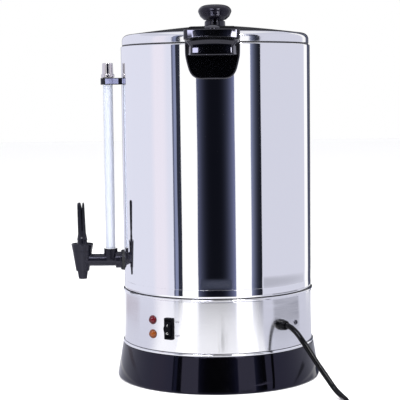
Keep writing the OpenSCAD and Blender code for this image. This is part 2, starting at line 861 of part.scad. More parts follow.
module handle_washers() {
    color([0.85, 0.85, 0.8])
    at_handle_screws() difference() {
        bar_x(washer_in_x, washer_in_x + washer_t, washer_r, $fn = 48);
        bar_x(washer_in_x - 1, tank_r, handle_screw_r, $fn = 32);
    }
}

// ---------------------------------------------------------------- tap

module tap_body() {
    flange_x = tank_r + washer_out_t;
    color([0.08, 0.08, 0.09])
    tap_frame() difference() {
        union() {
            bar_x(shank_end, tap_x, shank_r, tap_z);
            bar_x(flange_x, flange_x + flange_t, tap_washer_r, tap_z);
            bar_x(flange_x, flange_x + shoulder_len, shoulder_out_r, tap_z);
            translate([gauge_x, 0, tap_z]) cylinder(h = boss_top - tap_z, r = boss_r);
            translate([tap_x, 0, body_low_z])
                cylinder(h = body_top - body_low_z, r1 = body_low_r, r2 = bonnet_low_r);
            translate([tap_x, 0, nozzle_z]) cylinder(h = nozzle_h + 1, r1 = nozzle_low_r, r2 = nozzle_r);
        }
        bar_x(shank_end - 1, tap_x - cup_r - 1, bore_r, tap_z);
        translate([tap_x, 0, seat_z]) cylinder(h = body_top - seat_z + 1, r = chamber_r);
        translate([tap_x, 0, nozzle_z - 1]) cylinder(h = seat_z - nozzle_z + 2, r = outlet_r);
        translate([gauge_x, 0, boss_seat]) cylinder(h = boss_top - boss_seat + 1, r = gauge_r + seal_t);
        translate([gauge_x, 0, tap_z]) cylinder(h = boss_seat - tap_z + 1, r = 3);
    }
}

module tap_bonnet() {
    skirt_h = bonnet_h - bonnet_plate;
    color([0.08, 0.08, 0.09])
    tap_frame() translate([tap_x, 0, body_top]) difference() {
        union() {
            cylinder(h = bonnet_h, r1 = bonnet_low_r, r2 = bonnet_r);
            cylinder(h = bonnet_h + neck_h, r = neck_r);
        }
        translate([0, 0, -1]) cylinder(h = skirt_h + 1, r = chamber_r);
        cylinder(h = bonnet_h + neck_h + 1, r = stem_r + run_gap);
    }
}

// Silicone washers on both sides of the tank wall, shaped to its curve
module tap_washers() {
    wall_z = tap_z - tap_washer_r - 1;
    wall_h = 2 * tap_washer_r + 2;
    color([0.12, 0.12, 0.12])
    tap_frame() {
        difference() {
            bar_x(tank_r - 2, tank_r + washer_out_t, tap_washer_r, tap_z);
            bar_x(tank_r - 3, tank_r + washer_out_t + 1, shank_r, tap_z);
            translate([0, 0, wall_z]) cylinder(h = wall_h, r = tank_r, $fn = 180);
        }
        intersection() {
            difference() {
                bar_x(tank_in_r - inner_washer_t, tank_r, lock_nut_r - 3, tap_z);
                bar_x(tank_in_r - inner_washer_t - 1, tank_r + 1, shank_r, tap_z);
            }
            translate([0, 0, wall_z]) cylinder(h = wall_h, r = tank_in_r, $fn = 180);
        }
    }
}

module tap_lock_nut() {
    nut_x = tank_in_r - inner_washer_t - lock_nut_h;
    color([0.85, 0.85, 0.82])
    tap_frame() difference() {
        translate([nut_x, 0, tap_z]) rotate([0, 90, 0]) cylinder(h = lock_nut_h, r = lock_nut_r, $fn = 6);
        bar_x(nut_x - 1, nut_x + lock_nut_h + 1, shank_r, tap_z);
    }
}

module tap_stem() {
    color([0.8, 0.8, 0.8])
    tap_frame() difference() {
        union() {
            translate([tap_x, 0, seat_z + 3]) cylinder(h = pin_z + stem_eye_h - seat_z - 3, r = stem_r);
            translate([tap_x, 0, collar_z]) cylinder(h = collar_t, r = collar_r);
        }
        translate([tap_x, -10, pin_z]) rotate([-90, 0, 0]) cylinder(h = 20, r = pin_r, $fn = 32);
    }
}

module seat_cup() {
    color([0.9, 0.9, 0.88])
    tap_frame() translate([tap_x, 0, seat_z]) difference() {
        cylinder(h = cup_h, r = cup_r);
        translate([0, 0, 3]) cylinder(h = cup_h, r = stem_r);
    }
}

module tap_spring() {
    steps = spring_turns * 12;
    rise = spring_len - 2 * spring_wire_r;
    coil = [
        for (i = [0 : steps])
            let (a = i * 360 / 12)
            [tap_x + spring_r * cos(a), spring_r * sin(a), spring_z + spring_wire_r + rise * i / steps]
    ];
    color([0.75, 0.75, 0.77])
    tap_frame() swept(coil, spring_wire_r, 6);
}

module lever_pin() {
    color([0.8, 0.8, 0.82])
    tap_frame() translate([tap_x, 0, pin_z]) rotate([90, 0, 0])
        cylinder(h = 2 * lever_foot_r - 1, r = pin_r, center = true, $fn = 32);
}

// Lever: a round foot around the stem and a two-flanged blade with a notch in its top
module tap_lever() {
    blade_z = lever_z + lever_foot_h - 1;
    blade_h = lever_top - blade_z;
    blade = [[lever_w_low / 2, 0], [lever_w_top / 2, blade_h - 3], [lever_w_top / 2 - 3, blade_h],
             [3 - lever_w_top / 2, blade_h], [-lever_w_top / 2, blade_h - 3], [-lever_w_low / 2, 0]];
    side = [[-lever_back - 0.5, 0], [-lever_back + 1.8, blade_h], [-lever_back + 3.4, blade_h],
            [0, blade_h - lever_notch], [lever_front - 3.2, blade_h], [lever_front, blade_h],
            [lever_front, 0]];
    groove_w = 2;
    web_half = 2.2;
    color([0.1, 0.1, 0.11])
    tap_frame() translate([tap_x, 0, 0]) difference() {
        union() {
            translate([0, 0, lever_z]) cylinder(h = lever_foot_h, r1 = lever_foot_r, r2 = lever_foot_r - 2);
            intersection() {
                translate([-20, 0, blade_z]) rotate([90, 0, 90]) linear_extrude(40) polygon(blade);
                translate([0, 20, blade_z]) rotate([90, 0, 0]) linear_extrude(40) polygon(side);
            }
        }
        // grooves at both sides, between the front and the rear flange
        for (s = [-1, 1]) translate([-groove_w, s > 0 ? web_half : -20 - web_half, blade_z + 4])
            cube([groove_w, 20, blade_h]);
        // slot for the stem, which stays upright while the lever tilts, and a bore for the pin
        translate([-slot_in, -slot_side, lever_z - 1])
            cube([slot_in + slot_out, 2 * slot_side, pin_z + stem_eye_h + 1.2 - lever_z + 1]);
        translate([0, -20, pin_z]) rotate([-90, 0, 0]) cylinder(h = 40, r = pin_r + run_gap, $fn = 32);
    }
}

// ---------------------------------------------------------------- level gauge

module gauge_tube() {
    color([0.9, 0.95, 1, 0.4])
    tap_frame() translate([gauge_x, 0, boss_seat + 1])
        ring(gauge_r, gauge_r - gauge_wall, gauge_top - boss_seat - 1);
}

module gauge_seals() {
    color([0.9, 0.9, 0.88])
    tap_frame() translate([gauge_x, 0, 0]) {
        translate([0, 0, boss_seat]) difference() {
            cylinder(h = boss_top - boss_seat, r = gauge_r + seal_t);
            translate([0, 0, 1]) cylinder(h = boss_top - boss_seat, r = gauge_r);
            translate([0, 0, -1]) cylinder(h = 3, r = 3);
        }
        translate([0, 0, bracket_z]) ring(gauge_r + seal_t, gauge_r, bracket_h);
    }
}

module gauge_cap() {
    color([0.85, 0.85, 0.87])
    tap_frame() translate([gauge_x, 0, gauge_top]) difference() {
        union() {
            translate([0, 0, -cap_plug_h]) cylinder(h = cap_plug_h + 1, r = gauge_r - gauge_wall);
            cylinder(h = 1, r = cap_r);
            translate([0, 0, 1]) cylinder(h = cap_flange_h, r = cap_flange_r);
            cylinder(h = cap_h - 0.8, r = cap_r);
            translate([0, 0, cap_h - 0.8]) cylinder(h = 0.8, r1 = cap_r, r2 = cap_r - 0.8);
        }
        translate([0, 0, -cap_plug_h - 1]) cylinder(h = cap_h + cap_plug_h + 2, r = 0.8, $fn = 32);
    }
}

module gauge_bracket() {
    arm_len = gauge_reach + 1;
    pad_t = 7;
    color([0.08, 0.08, 0.09])
    tap_frame() difference() {
        union() {
            translate([gauge_x, 0, bracket_z]) cylinder(h = bracket_h, r = eye_r);
            translate([tank_r - 1, -arm_w / 2, bracket_z]) cube([arm_len, arm_w, bracket_h]);
            translate([tank_r - 2, -pad_w / 2, bracket_z]) cube([pad_t, pad_w, bracket_h]);
        }
        translate([gauge_x, 0, bracket_z - 1]) cylinder(h = bracket_h + 2, r = gauge_r + seal_t);
        translate([0, 0, bracket_z - 1]) cylinder(h = bracket_h + 2, r = tank_r, $fn = 180);
        bar_x(tank_r - 5, tank_r + bracket_screw_len, bracket_screw_r, bracket_z + bracket_h / 2, $fn = 32);
    }
}

module gauge_bracket_screw() {
    head_x = tank_in_r - 0.6;
    mid_z = bracket_z + bracket_h / 2;
    color([0.8, 0.8, 0.82])
    tap_frame() {
        bar_x(head_x, tank_r + bracket_screw_len, bracket_screw_r, mid_z, $fn = 32);
        bar_x(head_x - 2.5, head_x, 4, mid_z, $fn = 32);
    }
}

// ---------------------------------------------------------------- switch and lamps

module switch_body() {
    color([0.06, 0.06, 0.065])
    on_wall(switch_az, housing_r, control_z) difference() {
        union() {
            linear_extrude(bezel_t) polygon(round_rect(bezel_h, bezel_w, 1.5));
            translate([0, 0, -switch_depth]) linear_extrude(switch_depth + 1)
                square([switch_body_h, switch_body_w], center = true);
        }
        translate([0, 0, -opening_depth]) linear_extrude(opening_depth + bezel_t + 1)
            square([opening_h, opening_w], center = true);
        rotate([90, 0, 0]) translate([0, 0, -rocker_pin_len / 2 - run_gap])
            cylinder(h = rocker_pin_len + 2 * run_gap, r = rocker_pin_r + run_gap, $fn = 32);
    }
}

module switch_terminals() {
    color([0.8, 0.75, 0.6])
    on_wall(switch_az, housing_r - switch_depth - terminal_len, control_z)
        for (s = [-1, 0, 1]) translate([s * 8 - terminal_t / 2, -terminal_w / 2, 0])
            cube([terminal_t, terminal_w, terminal_len]);
}

// Rocker with a ridge across its middle, upper half pressed in; it turns on a pin through the bezel
module switch_rocker() {
    edge_out = bezel_t + 0.6;
    side = [
        [-rocker_half, edge_out], [-1, ridge_out], [1, ridge_out], [rocker_half, edge_out],
        [rocker_half, -1], [4, -4], [-4, -4], [-rocker_half, -1]
    ];
    color([0.06, 0.06, 0.065])
    on_wall(switch_az, housing_r, control_z) rotate([0, -rocker_tilt, 0]) rotate([90, 0, 0]) {
        translate([0, 0, -rocker_w / 2]) linear_extrude(rocker_w) polygon(side);
        translate([0, 0, -rocker_pin_len / 2]) cylinder(h = rocker_pin_len, r = rocker_pin_r, $fn = 32);
    }
}

// Lens with a flat flange and a stepped dome
module lens() {
    cylinder(h = lens_flange_h, r = lens_r, $fn = 48);
    translate([0, 0, lens_flange_h]) rotate_extrude($fn = 48) polygon([
        [0, 0], [lens_r - 0.7, 0], [lens_r - 1, 1.2], [lens_r - 2.2, 2.8], [lens_r - 4, lens_dome_h],
        [0, lens_dome_h]
    ]);
}

module boil_lamp_lens() {
    color([0.7, 0.05, 0.08]) on_wall(lamp_az, housing_r, control_z + lamp_pitch / 2) lens();
}

module warm_lamp_lens() {
    color([0.95, 0.5, 0.1]) on_wall(lamp_az, housing_r, control_z - lamp_pitch / 2) lens();
}

module at_lamps(r) {
    for (s = [-1, 1]) on_wall(lamp_az, r, control_z + s * lamp_pitch / 2) children();
}

module lamp_bodies() {
    color([0.9, 0.9, 0.88])
    at_lamps(housing_r - lamp_body_len) {
        cylinder(h = lamp_body_len, r = lamp_body_r, $fn = 48);
        for (s = [-1, 1]) translate([-0.4, s * 2.6 - 1.2, -6]) cube([0.8, 2.4, 7]);
    }
}

module lamp_nuts() {
    nut_t = 1.5;
    color([0.8, 0.8, 0.82])
    at_lamps(housing_in_r - nut_t - 0.4) ring(lamp_nut_r, lamp_body_r, nut_t, $fn = 48);
}

// ---------------------------------------------------------------- gland and earth screw

module cable_gland() {
    dome = gland_len - gland_flange_h;
    color([0.07, 0.07, 0.075])
    on_wall(gland_az, housing_r, gland_z) {
        rotate_extrude($fn = 64) polygon(concat(
            [[0, 0], [gland_r, 0], [gland_r, gland_flange_h]],
            [for (i = [1 : 6]) let (a = i * 15)
                [gland_tip_r + (gland_r - gland_tip_r) * cos(a), gland_flange_h + dome * sin(a)]],
            [[0, gland_len]]
        ));
        translate([0, 0, -gland_thread_len])
            cylinder(h = gland_thread_len + 1, r = gland_thread_r, $fn = 48);
    }
}

module gland_nut() {
    nut_t = 5;
    color([0.07, 0.07, 0.075])
    on_wall(gland_az, housing_in_r - nut_t - 0.4, gland_z) difference() {
        cylinder(h = nut_t, r = gland_thread_r + 3, $fn = 6);
        translate([0, 0, -1]) cylinder(h = nut_t + 2, r = gland_thread_r, $fn = 48);
    }
}

module earth_screw() {
    color([0.8, 0.78, 0.7])
    on_wall(earth_az, housing_r, earth_z) {
        translate([0, 0, -earth_len]) cylinder(h = earth_len + 1, r = earth_r, $fn = 32);
        rotate_extrude($fn = 48) polygon([
            [0, 0], [earth_head_r, 0], [earth_head_r, earth_head_h * 0.45],
            [earth_head_r * 0.72, earth_head_h * 0.9], [0, earth_head_h]
        ]);
    }
}

// ---------------------------------------------------------------- lid

module lid_shell() {
    inner = [for (i = [len(lid_outer) - 1 : -1 : 1])
        [max(lid_outer[i][0] - sheet, 0), lid_outer[i][1] - sheet]];
    color([0.85, 0.85, 0.87])
    difference() {
        rotate_extrude($fn = 180) polygon(concat(
            lid_outer, inner, [[lid_r - sheet, lid_z]]
        ));
        translate([0, 0, lid_top - shoulder_r]) cylinder(h = 2 * shoulder_r, r = rod_r, $fn = 32);
    }
}

// Locating ring under the lid, with a flange that meets the inside of the skirt
module lid_ring() {
    flange_z = ring_top_z - sheet;
    color([0.8, 0.8, 0.82])
    rotate_extrude($fn = 180) polygon([
        [lid_ring_r - sheet, lid_z - lid_ring_drop], [lid_ring_r, lid_z - lid_ring_drop],
        [lid_ring_r, flange_z], [lid_r - sheet, flange_z], [lid_r - sheet, ring_top_z],
        [lid_ring_r - sheet, ring_top_z]
    ]);
}

module knob_foot() {
    color([0.06, 0.06, 0.065])
    translate([0, 0, lid_top]) difference() {
        rotate_extrude() polygon([
            [0, 0], [knob_foot_r, 0], [knob_foot_r, 1.5], [knob_foot_r - 0.8, knob_foot_h], [0, knob_foot_h]
        ]);
        translate([0, 0, -1]) cylinder(h = knob_foot_h + 2, r = rod_r, $fn = 32);
    }
}

module lid_knob() {
    under_h = knob_h * 0.46;
    crown_h = knob_h - under_h - 1.5;
    color([0.05, 0.05, 0.055])
    translate([0, 0, lid_top + knob_foot_h]) difference() {
        rotate_extrude() polygon(concat(
            [[0, 0], [knob_foot_r - 0.5, 0], [knob_foot_r + 2, 1.2], [knob_foot_r + 6, 5]],
            [[knob_r - 0.8, under_h]],
            [for (i = [0 : 10]) let (a = i * 9)
                [knob_r * (i < 10 ? pow(cos(a), 0.6) : 0), under_h + 1.5 + crown_h * sin(a)]]
        ));
        translate([0, 0, -1]) cylinder(h = knob_h / 2 + 1, r = rod_r, $fn = 32);
    }
}

module knob_screw() {
    under = lid_top - sheet;
    color([0.8, 0.8, 0.82]) {
        translate([0, 0, under]) cylinder(h = sheet + knob_foot_h + knob_h / 2, r = rod_r, $fn = 32);
        translate([0, 0, under - 1]) cylinder(h = 1, r = 9, $fn = 48);
        translate([0, 0, under - 4]) cylinder(h = 3.2, r = 4.6, $fn = 48);
    }
}

// ---------------------------------------------------------------- mains lead

module mains_cord() {
    color([0.06, 0.06, 0.06]) swept(cord_route, cord_r, cord_sides);
}

module cord_coil() {
    inner = coil_turn_r - (coil_columns - 1) * 2 * cord_r - cord_r;
    outer = coil_turn_r + cord_r;
    high = coil_layers * 2 * cord_r;
    color([0.06, 0.06, 0.06])
    translate([coil_x, coil_y, 0]) rotate_extrude() polygon([
        [inner + 1.5, 0], [outer - 1.5, 0], [outer, 1.5], [outer, high - 1.5], [outer - 1.5, high],
        [inner + 1.5, high], [inner, high - 1.5], [inner, 1.5]
    ]);
}

module cord_tail() {
    color([0.06, 0.06, 0.06]) swept(tail_route, cord_r, cord_sides);
}

// Puts children in the plug's frame: Z runs from the face back to the sleeve; it lies on its front disc
module plug_frame() {
    tail = tail_route[len(tail_route) - 1];
    translate(tail) rotate([90, 0, 0]) translate([0, 0, plug_len]) rotate([180, 0, 0]) children();
}

module plug_body() {
    color([0.06, 0.06, 0.06])
    plug_frame() {
        rotate_extrude($fn = 64) polygon([
            [0, 0], [plug_disc_r - 1.5, 0], [plug_disc_r, 1.5], [plug_disc_r, plug_disc_h - 2],
            [plug_disc_r - 3, plug_disc_h], [plug_disc_r - 7, plug_disc_h + 4],
            [plug_disc_r - 8, plug_disc_h + plug_grip_len], [cord_r + 3, plug_disc_h + plug_grip_len + 1],
            [cord_r + 1, plug_len], [0, plug_len]
        ]);
    }
}

module plug_pins() {
    color([0.85, 0.8, 0.6])
    plug_frame() for (s = [-1, 1]) translate([s * plug_pin_pitch / 2, 0, -plug_pin_len]) {
        translate([0, 0, 1]) cylinder(h = plug_pin_len - 1, r = plug_pin_r, $fn = 32);
        cylinder(h = 1, r1 = plug_pin_r - 0.8, r2 = plug_pin_r, $fn = 32);
    }
}

base_skirt();
bottom_cover();
tie_nuts();
feet();
trim_ring();
lower_housing();
seam_ring();
tank_shell();
tank_floor();
tie_rods();
heat_shield();
heater_plate();
boil_element();
keep_warm_element();
boil_thermostat();
dry_boil_cutout();
terminal_block();
wiring();
handle_right();
handle_left();
handle_screws();
handle_washers();
tap_body();
tap_bonnet();
tap_washers();
tap_lock_nut();
tap_stem();
seat_cup();
tap_spring();
lever_pin();
tap_lever();
gauge_tube();
gauge_seals();
gauge_cap();
gauge_bracket();
gauge_bracket_screw();
switch_body();
switch_terminals();
switch_rocker();
boil_lamp_lens();
warm_lamp_lens();
lamp_bodies();
lamp_nuts();
cable_gland();
gland_nut();
earth_screw();
lid_shell();
lid_ring();
knob_foot();
lid_knob();
knob_screw();
mains_cord();
cord_coil();
cord_tail();
plug_body();
plug_pins();
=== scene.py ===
"""Looks of the hot water urn: finishes, shells, the lead, lights and camera. Lengths are in metres."""
from math import acos, atan2, cos, exp, pi, radians, sin, sqrt, tan

import bmesh
import bpy
import numpy as np
from mathutils import Matrix, Vector
from mathutils.bvhtree import BVHTree


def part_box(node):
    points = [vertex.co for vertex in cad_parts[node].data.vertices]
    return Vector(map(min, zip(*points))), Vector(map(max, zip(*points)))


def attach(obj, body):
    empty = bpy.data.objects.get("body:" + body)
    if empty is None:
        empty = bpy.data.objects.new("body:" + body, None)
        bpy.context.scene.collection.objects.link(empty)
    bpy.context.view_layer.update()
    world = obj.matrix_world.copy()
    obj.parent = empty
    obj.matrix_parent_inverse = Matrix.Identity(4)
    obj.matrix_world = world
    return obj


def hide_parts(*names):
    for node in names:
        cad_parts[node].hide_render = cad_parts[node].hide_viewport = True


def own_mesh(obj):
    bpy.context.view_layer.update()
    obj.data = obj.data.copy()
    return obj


MM = 0.001
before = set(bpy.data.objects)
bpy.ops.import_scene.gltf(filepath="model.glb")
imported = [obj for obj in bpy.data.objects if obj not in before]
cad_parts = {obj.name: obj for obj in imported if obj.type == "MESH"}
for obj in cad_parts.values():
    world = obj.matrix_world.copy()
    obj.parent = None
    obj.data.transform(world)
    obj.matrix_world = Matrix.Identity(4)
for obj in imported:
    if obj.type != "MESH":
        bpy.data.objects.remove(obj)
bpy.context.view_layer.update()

# -------- camera

CAMERA_AT = Vector((1.9469, 0.0496, 0.4284))
CAMERA_HEADING = Vector((-0.9993, -0.0384, 0.0))
CAMERA_DOWN = radians(4.87)
CAMERA_ROLL = radians(-0.69)
FOCAL_PX = 1302.0
IMAGE_PX = 400.0
SENSOR_MM = 36.0
CLIP_NEAR, CLIP_FAR = 0.05, 40.0


def make_camera():
    data = bpy.data.cameras.new("camera")
    data.sensor_width = SENSOR_MM
    data.lens = SENSOR_MM * FOCAL_PX / IMAGE_PX
    data.clip_start, data.clip_end = CLIP_NEAR, CLIP_FAR
    camera = object_of("camera", data)
    forward = CAMERA_HEADING.normalized() * cos(CAMERA_DOWN) - Vector((0, 0, sin(CAMERA_DOWN)))
    right = forward.cross(Vector((0, 0, 1))).normalized()
    up = right.cross(forward)
    turned_to = Matrix((right, up, -forward)).transposed() @ Matrix.Rotation(CAMERA_ROLL, 3, "Z")
    camera.matrix_world = Matrix.Translation(CAMERA_AT) @ turned_to.to_4x4()
    bpy.context.scene.camera = camera


# -------- mesh helpers

TINY = 1e-6
NEARLY_STRAIGHT = radians(88.5)
NEARLY_FOLDED = 1e-3
CUT_SHARE = 0.48


def object_of(name, data):
    obj = bpy.data.objects.new(name, data)
    bpy.context.scene.collection.objects.link(obj)
    return obj


def object_from(name, bm):
    """Object made of a bmesh, which is used up."""
    mesh = bpy.data.meshes.new(name)
    bm.to_mesh(mesh)
    bm.free()
    return object_of(name, mesh)


def new_object(name, verts, faces, smooth=True):
    mesh = bpy.data.meshes.new(name)
    mesh.from_pydata([tuple(v) for v in verts], [], faces)
    mesh.validate()
    mesh.polygons.foreach_set("use_smooth", [smooth] * len(mesh.polygons))
    return object_of(name, mesh)


def solid(name, verts, faces, smooth=True):
    """Closed object, with all its faces turned outwards."""
    obj = new_object(name, verts, faces, smooth)
    bm = bmesh.new()
    bm.from_mesh(obj.data)
    bmesh.ops.recalc_face_normals(bm, faces=bm.faces)
    bm.to_mesh(obj.data)
    bm.free()
    return obj


def band_faces(rows, count, around=True, along=False):
    """Quads between rows of count points; around closes every row, along joins the last row to the first."""
    faces = []
    for row in range(rows if along else rows - 1):
        low, high = row * count, (row + 1) % rows * count
        for k in range(count if around else count - 1):
            n = (k + 1) % count
            faces.append((low + k, low + n, high + n, high + k))
    return faces


def place(obj, body, finish, slot_name, *nodes):
    """Gives a piece its finish and its body, and says which CAD nodes it stands for."""
    obj.data.materials.clear()
    obj.data.materials.append(MATS[finish])
    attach(obj, body)
    if nodes:
        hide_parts(*nodes)
    return obj


def cos_sin(degrees):
    return cos(radians(degrees)), sin(radians(degrees))


def arc_points(cx, cy, r, start, end, steps):
    """Points on an arc, angles in degrees."""
    turns = [cos_sin(start + (end - start) * k / steps) for k in range(steps + 1)]
    return [(cx + r * c, cy + r * s) for c, s in turns]


def rounded(points, radii, steps=4, closed=False):
    """A polyline with each corner turned into an arc; radii is one number, or one for each point."""
    pts = [Vector((p[0], p[1])) for p in points]
    count = len(pts)
    if not isinstance(radii, (list, tuple)):
        radii = [radii] * count
    out = []
    for i, p in enumerate(pts):
        before, after = pts[i - 1] - p, pts[(i + 1) % count] - p
        if radii[i] <= 0 or (not closed and i in (0, count - 1)):
            out.append(p)
            continue
        la, lb = before.length, after.length
        a, b = before / la, after / lb
        half = acos(max(-1, min(1, a.dot(b)))) / 2
        if half > NEARLY_STRAIGHT or half < NEARLY_FOLDED:
            out.append(p)
            continue
        cut = min(radii[i] / tan(half), CUT_SHARE * la, CUT_SHARE * lb)
        centre = p + (a + b).normalized() * (cut * tan(half) / sin(half))
        start, end = p + a * cut - centre, p + b * cut - centre
        sweep = atan2(start.x * end.y - start.y * end.x, start.dot(end))
        for k in range(steps + 1):
            c, s = cos(sweep * k / steps), sin(sweep * k / steps)
            out.append(centre + Vector((start.x * c - start.y * s, start.x * s + start.y * c)))
    return out


def with_edge_points(profile, closed):
    """Adds a point near both ends of each long straight part, so that its shading stays flat."""
    near, long = 0.4 * MM, 5 * MM
    pts = [Vector((p[0], p[1])) for p in profile]
    out = []
    for p, q in zip(pts, pts[1:] + pts[:1] * closed):
        out.append(p)
        if (q - p).length > long:
            step = (q - p).normalized() * near
            out += [p + step, q - step]
    return out if closed else out + pts[-1:]


def lathe(name, profile, segments=256, closed=False, centre_y=0.0):
    """A profile of (radius, height) points turned about a vertical axis."""
    verts, rows, faces = [], [], []
    for r, z in with_edge_points(profile, closed):
        around = 1 if r < TINY else segments
        rows.append(range(len(verts), len(verts) + around))
        for k in range(around):
            a = 2 * pi * k / segments
            verts.append((r * cos(a), centre_y + r * sin(a), z))
    for low, high in zip(rows, rows[1:] + rows[:1] * closed):
        if len(low) == len(high) == 1:
            continue
        for k in range(segments):
            m = (k + 1) % segments
            corners = [low[k % len(low)], low[m % len(low)], high[m % len(high)], high[k % len(high)]]
            faces.append(tuple(dict.fromkeys(corners)))
    return solid(name, verts, faces)


def turned(name, points, radii_mm, steps, segments, closed=True, centre_y=0.0):
    """Lathed solid whose profile has its corners rounded."""
    profile = rounded(points, [r * MM for r in radii_mm], steps, closed)
    return lathe(name, profile, segments, closed, centre_y)


def in_frame(obj, matrix):
    obj.data.transform(matrix)
    return obj


def evaluated_mesh(obj):
    """Mesh of an object as its modifiers or its text leave it."""
    bpy.context.view_layer.update()
    return bpy.data.meshes.new_from_object(obj.evaluated_get(bpy.context.evaluated_depsgraph_get()))


def apply_modifiers(obj):
    mesh = evaluated_mesh(obj)
    obj.modifiers.clear()
    old, obj.data = obj.data, mesh
    bpy.data.meshes.remove(old)


def cut_boxes(obj, matrices):
    """Takes unit cubes, each set in place by a matrix, out of a solid."""
    tools = []
    for matrix in matrices:
        bm = bmesh.new()
        bmesh.ops.create_cube(bm, size=1.0, matrix=matrix)
        tools.append(object_from("tool", bm))
        cut = obj.modifiers.new("cut", "BOOLEAN")
        cut.operation = "DIFFERENCE"
        cut.solver = "EXACT"
        cut.object = tools[-1]
    apply_modifiers(obj)
    for tool in tools:
        bpy.data.objects.remove(tool)


def softened(name, node, voxel, rounds):
    """A moulded copy of a CAD node: one skin over it, with its edges rounded off."""
    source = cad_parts[node]
    bm = bmesh.new()
    bm.from_mesh(source.data)
    bm.transform(source.matrix_world)
    obj = object_from(name, bm)
    remesh = obj.modifiers.new("skin", "REMESH")
    remesh.mode = "VOXEL"
    remesh.voxel_size = voxel
    smooth = obj.modifiers.new("round", "SMOOTH")
    smooth.iterations = rounds
    apply_modifiers(obj)
    obj.data.polygons.foreach_set("use_smooth", [True] * len(obj.data.polygons))
    return obj


# -------- node helpers

class Graph:
    """The node tree of a material or world, with short calls for the nodes it needs."""

    def __init__(self, owner):
        owner.use_nodes = True
        self.owner = owner
        self.nodes, self.links = owner.node_tree.nodes, owner.node_tree.links

    def put(self, socket, value):
        """Feeds an input from another node's output, or sets it to a constant."""
        if isinstance(value, bpy.types.NodeSocket):
            self.links.new(value, socket)
        else:
            socket.default_value = value

    def node(self, kind, *inputs, output=0, **settings):
        """Adds a node: settings are its properties or named inputs, the rest goes to its inputs in order."""
        made = self.nodes.new("ShaderNode" + kind)
        for key, value in settings.items():
            if key.islower():
                setattr(made, key, value)
            else:
                self.put(made.inputs[key], value)
        for socket, value in zip(made.inputs, inputs):
            self.put(socket, value)
        return made.outputs[output] if len(made.outputs) else None

    def maths(self, operation, first, second, **settings):
        return self.node("Math", first, second, operation=operation, **settings)

    def split(self, vector):
        return self.node("SeparateXYZ", vector).node.outputs

    def position(self):
        return self.node("TexCoord", output="Object")

    def around(self):
        """Position wound round the urn's axis: angle and height."""
        x, y, z = self.split(self.position())
        return self.node("CombineXYZ", self.maths("ARCTAN2", y, x), z)

    def scaled(self, vector, scale):
        return self.node("Mapping", Vector=vector, Scale=scale)

    def noise(self, vector, scale, detail=4.0, rough=0.55):
        return self.node("TexNoise", Vector=vector, Scale=scale, Detail=detail, Roughness=rough)

    def ramp(self, value, low, high, to_low, to_high, **settings):
        return self.node("MapRange", value, low, high, to_low, to_high, **settings)

    def mix_colour(self, factor, first, second):
        mixed = self.node("Mix", factor, output=2, data_type="RGBA")
        for number, colour in ((6, first), (7, second)):
            mixed.node.inputs[number].default_value = (*colour, 1.0)
        return mixed


class Finish(Graph):
    """A Principled material; its constants sit on the shader's own sockets."""

    def __init__(self, name, colour, roughness, metallic=0.0, **settings):
        super().__init__(bpy.data.materials.new(name))
        self.shader = self.nodes["Principled BSDF"]
        self.owner.diffuse_color = (*colour, 1.0)
        self.feed((*colour, 1.0), "Base Color")
        self.feed(roughness, "Roughness")
        self.feed(metallic, "Metallic")
        for key, value in settings.items():
            self.feed(value, key.replace("_", " "))

    def feed(self, value, socket):
        self.put(self.shader.inputs[socket], value)

    def bump(self, height, strength, distance):
        self.feed(self.node("Bump", Height=height, Strength=strength, Distance=distance), "Normal")


# -------- finishes

MATS = {}
COOL = (0.84, 0.83, 1.0)
WHITE = (1.0, 1.0, 1.0)
GLOSS_BLACK = (0.0004, 0.0004, 0.0006)
PAINT_BLACK = (0.004, 0.004, 0.007)
# Fade at the edge of the painted reflection on the bracket's arm.
ARM_REFLECTION_EDGE = 0.3 * MM

# Material, colour, roughness, its spread, grain round the urn and up it, depth of the grain.
STEELS = {
    "tank": ("polished_steel", (0.93, 0.93, 0.95), 0.035, 0.012, 1.5, 900.0, 0.0),
    "lid": ("spun_steel", (0.90, 0.90, 0.92), 0.10, 0.03, 1.5, 1400.0, 4e-6),
    "trim": ("trim_chrome", (0.92, 0.92, 0.94), 0.06, 0.02, 1.5, 500.0, 0.0),
    "inner": ("inner_steel", (0.74, 0.74, 0.76), 0.33, 0.06, 2.0, 1500.0, 1e-5),
    "cap": ("cap_chrome", (0.72, 0.69, 0.70), 0.08, 0.02, 4.0, 700.0, 0.0)}

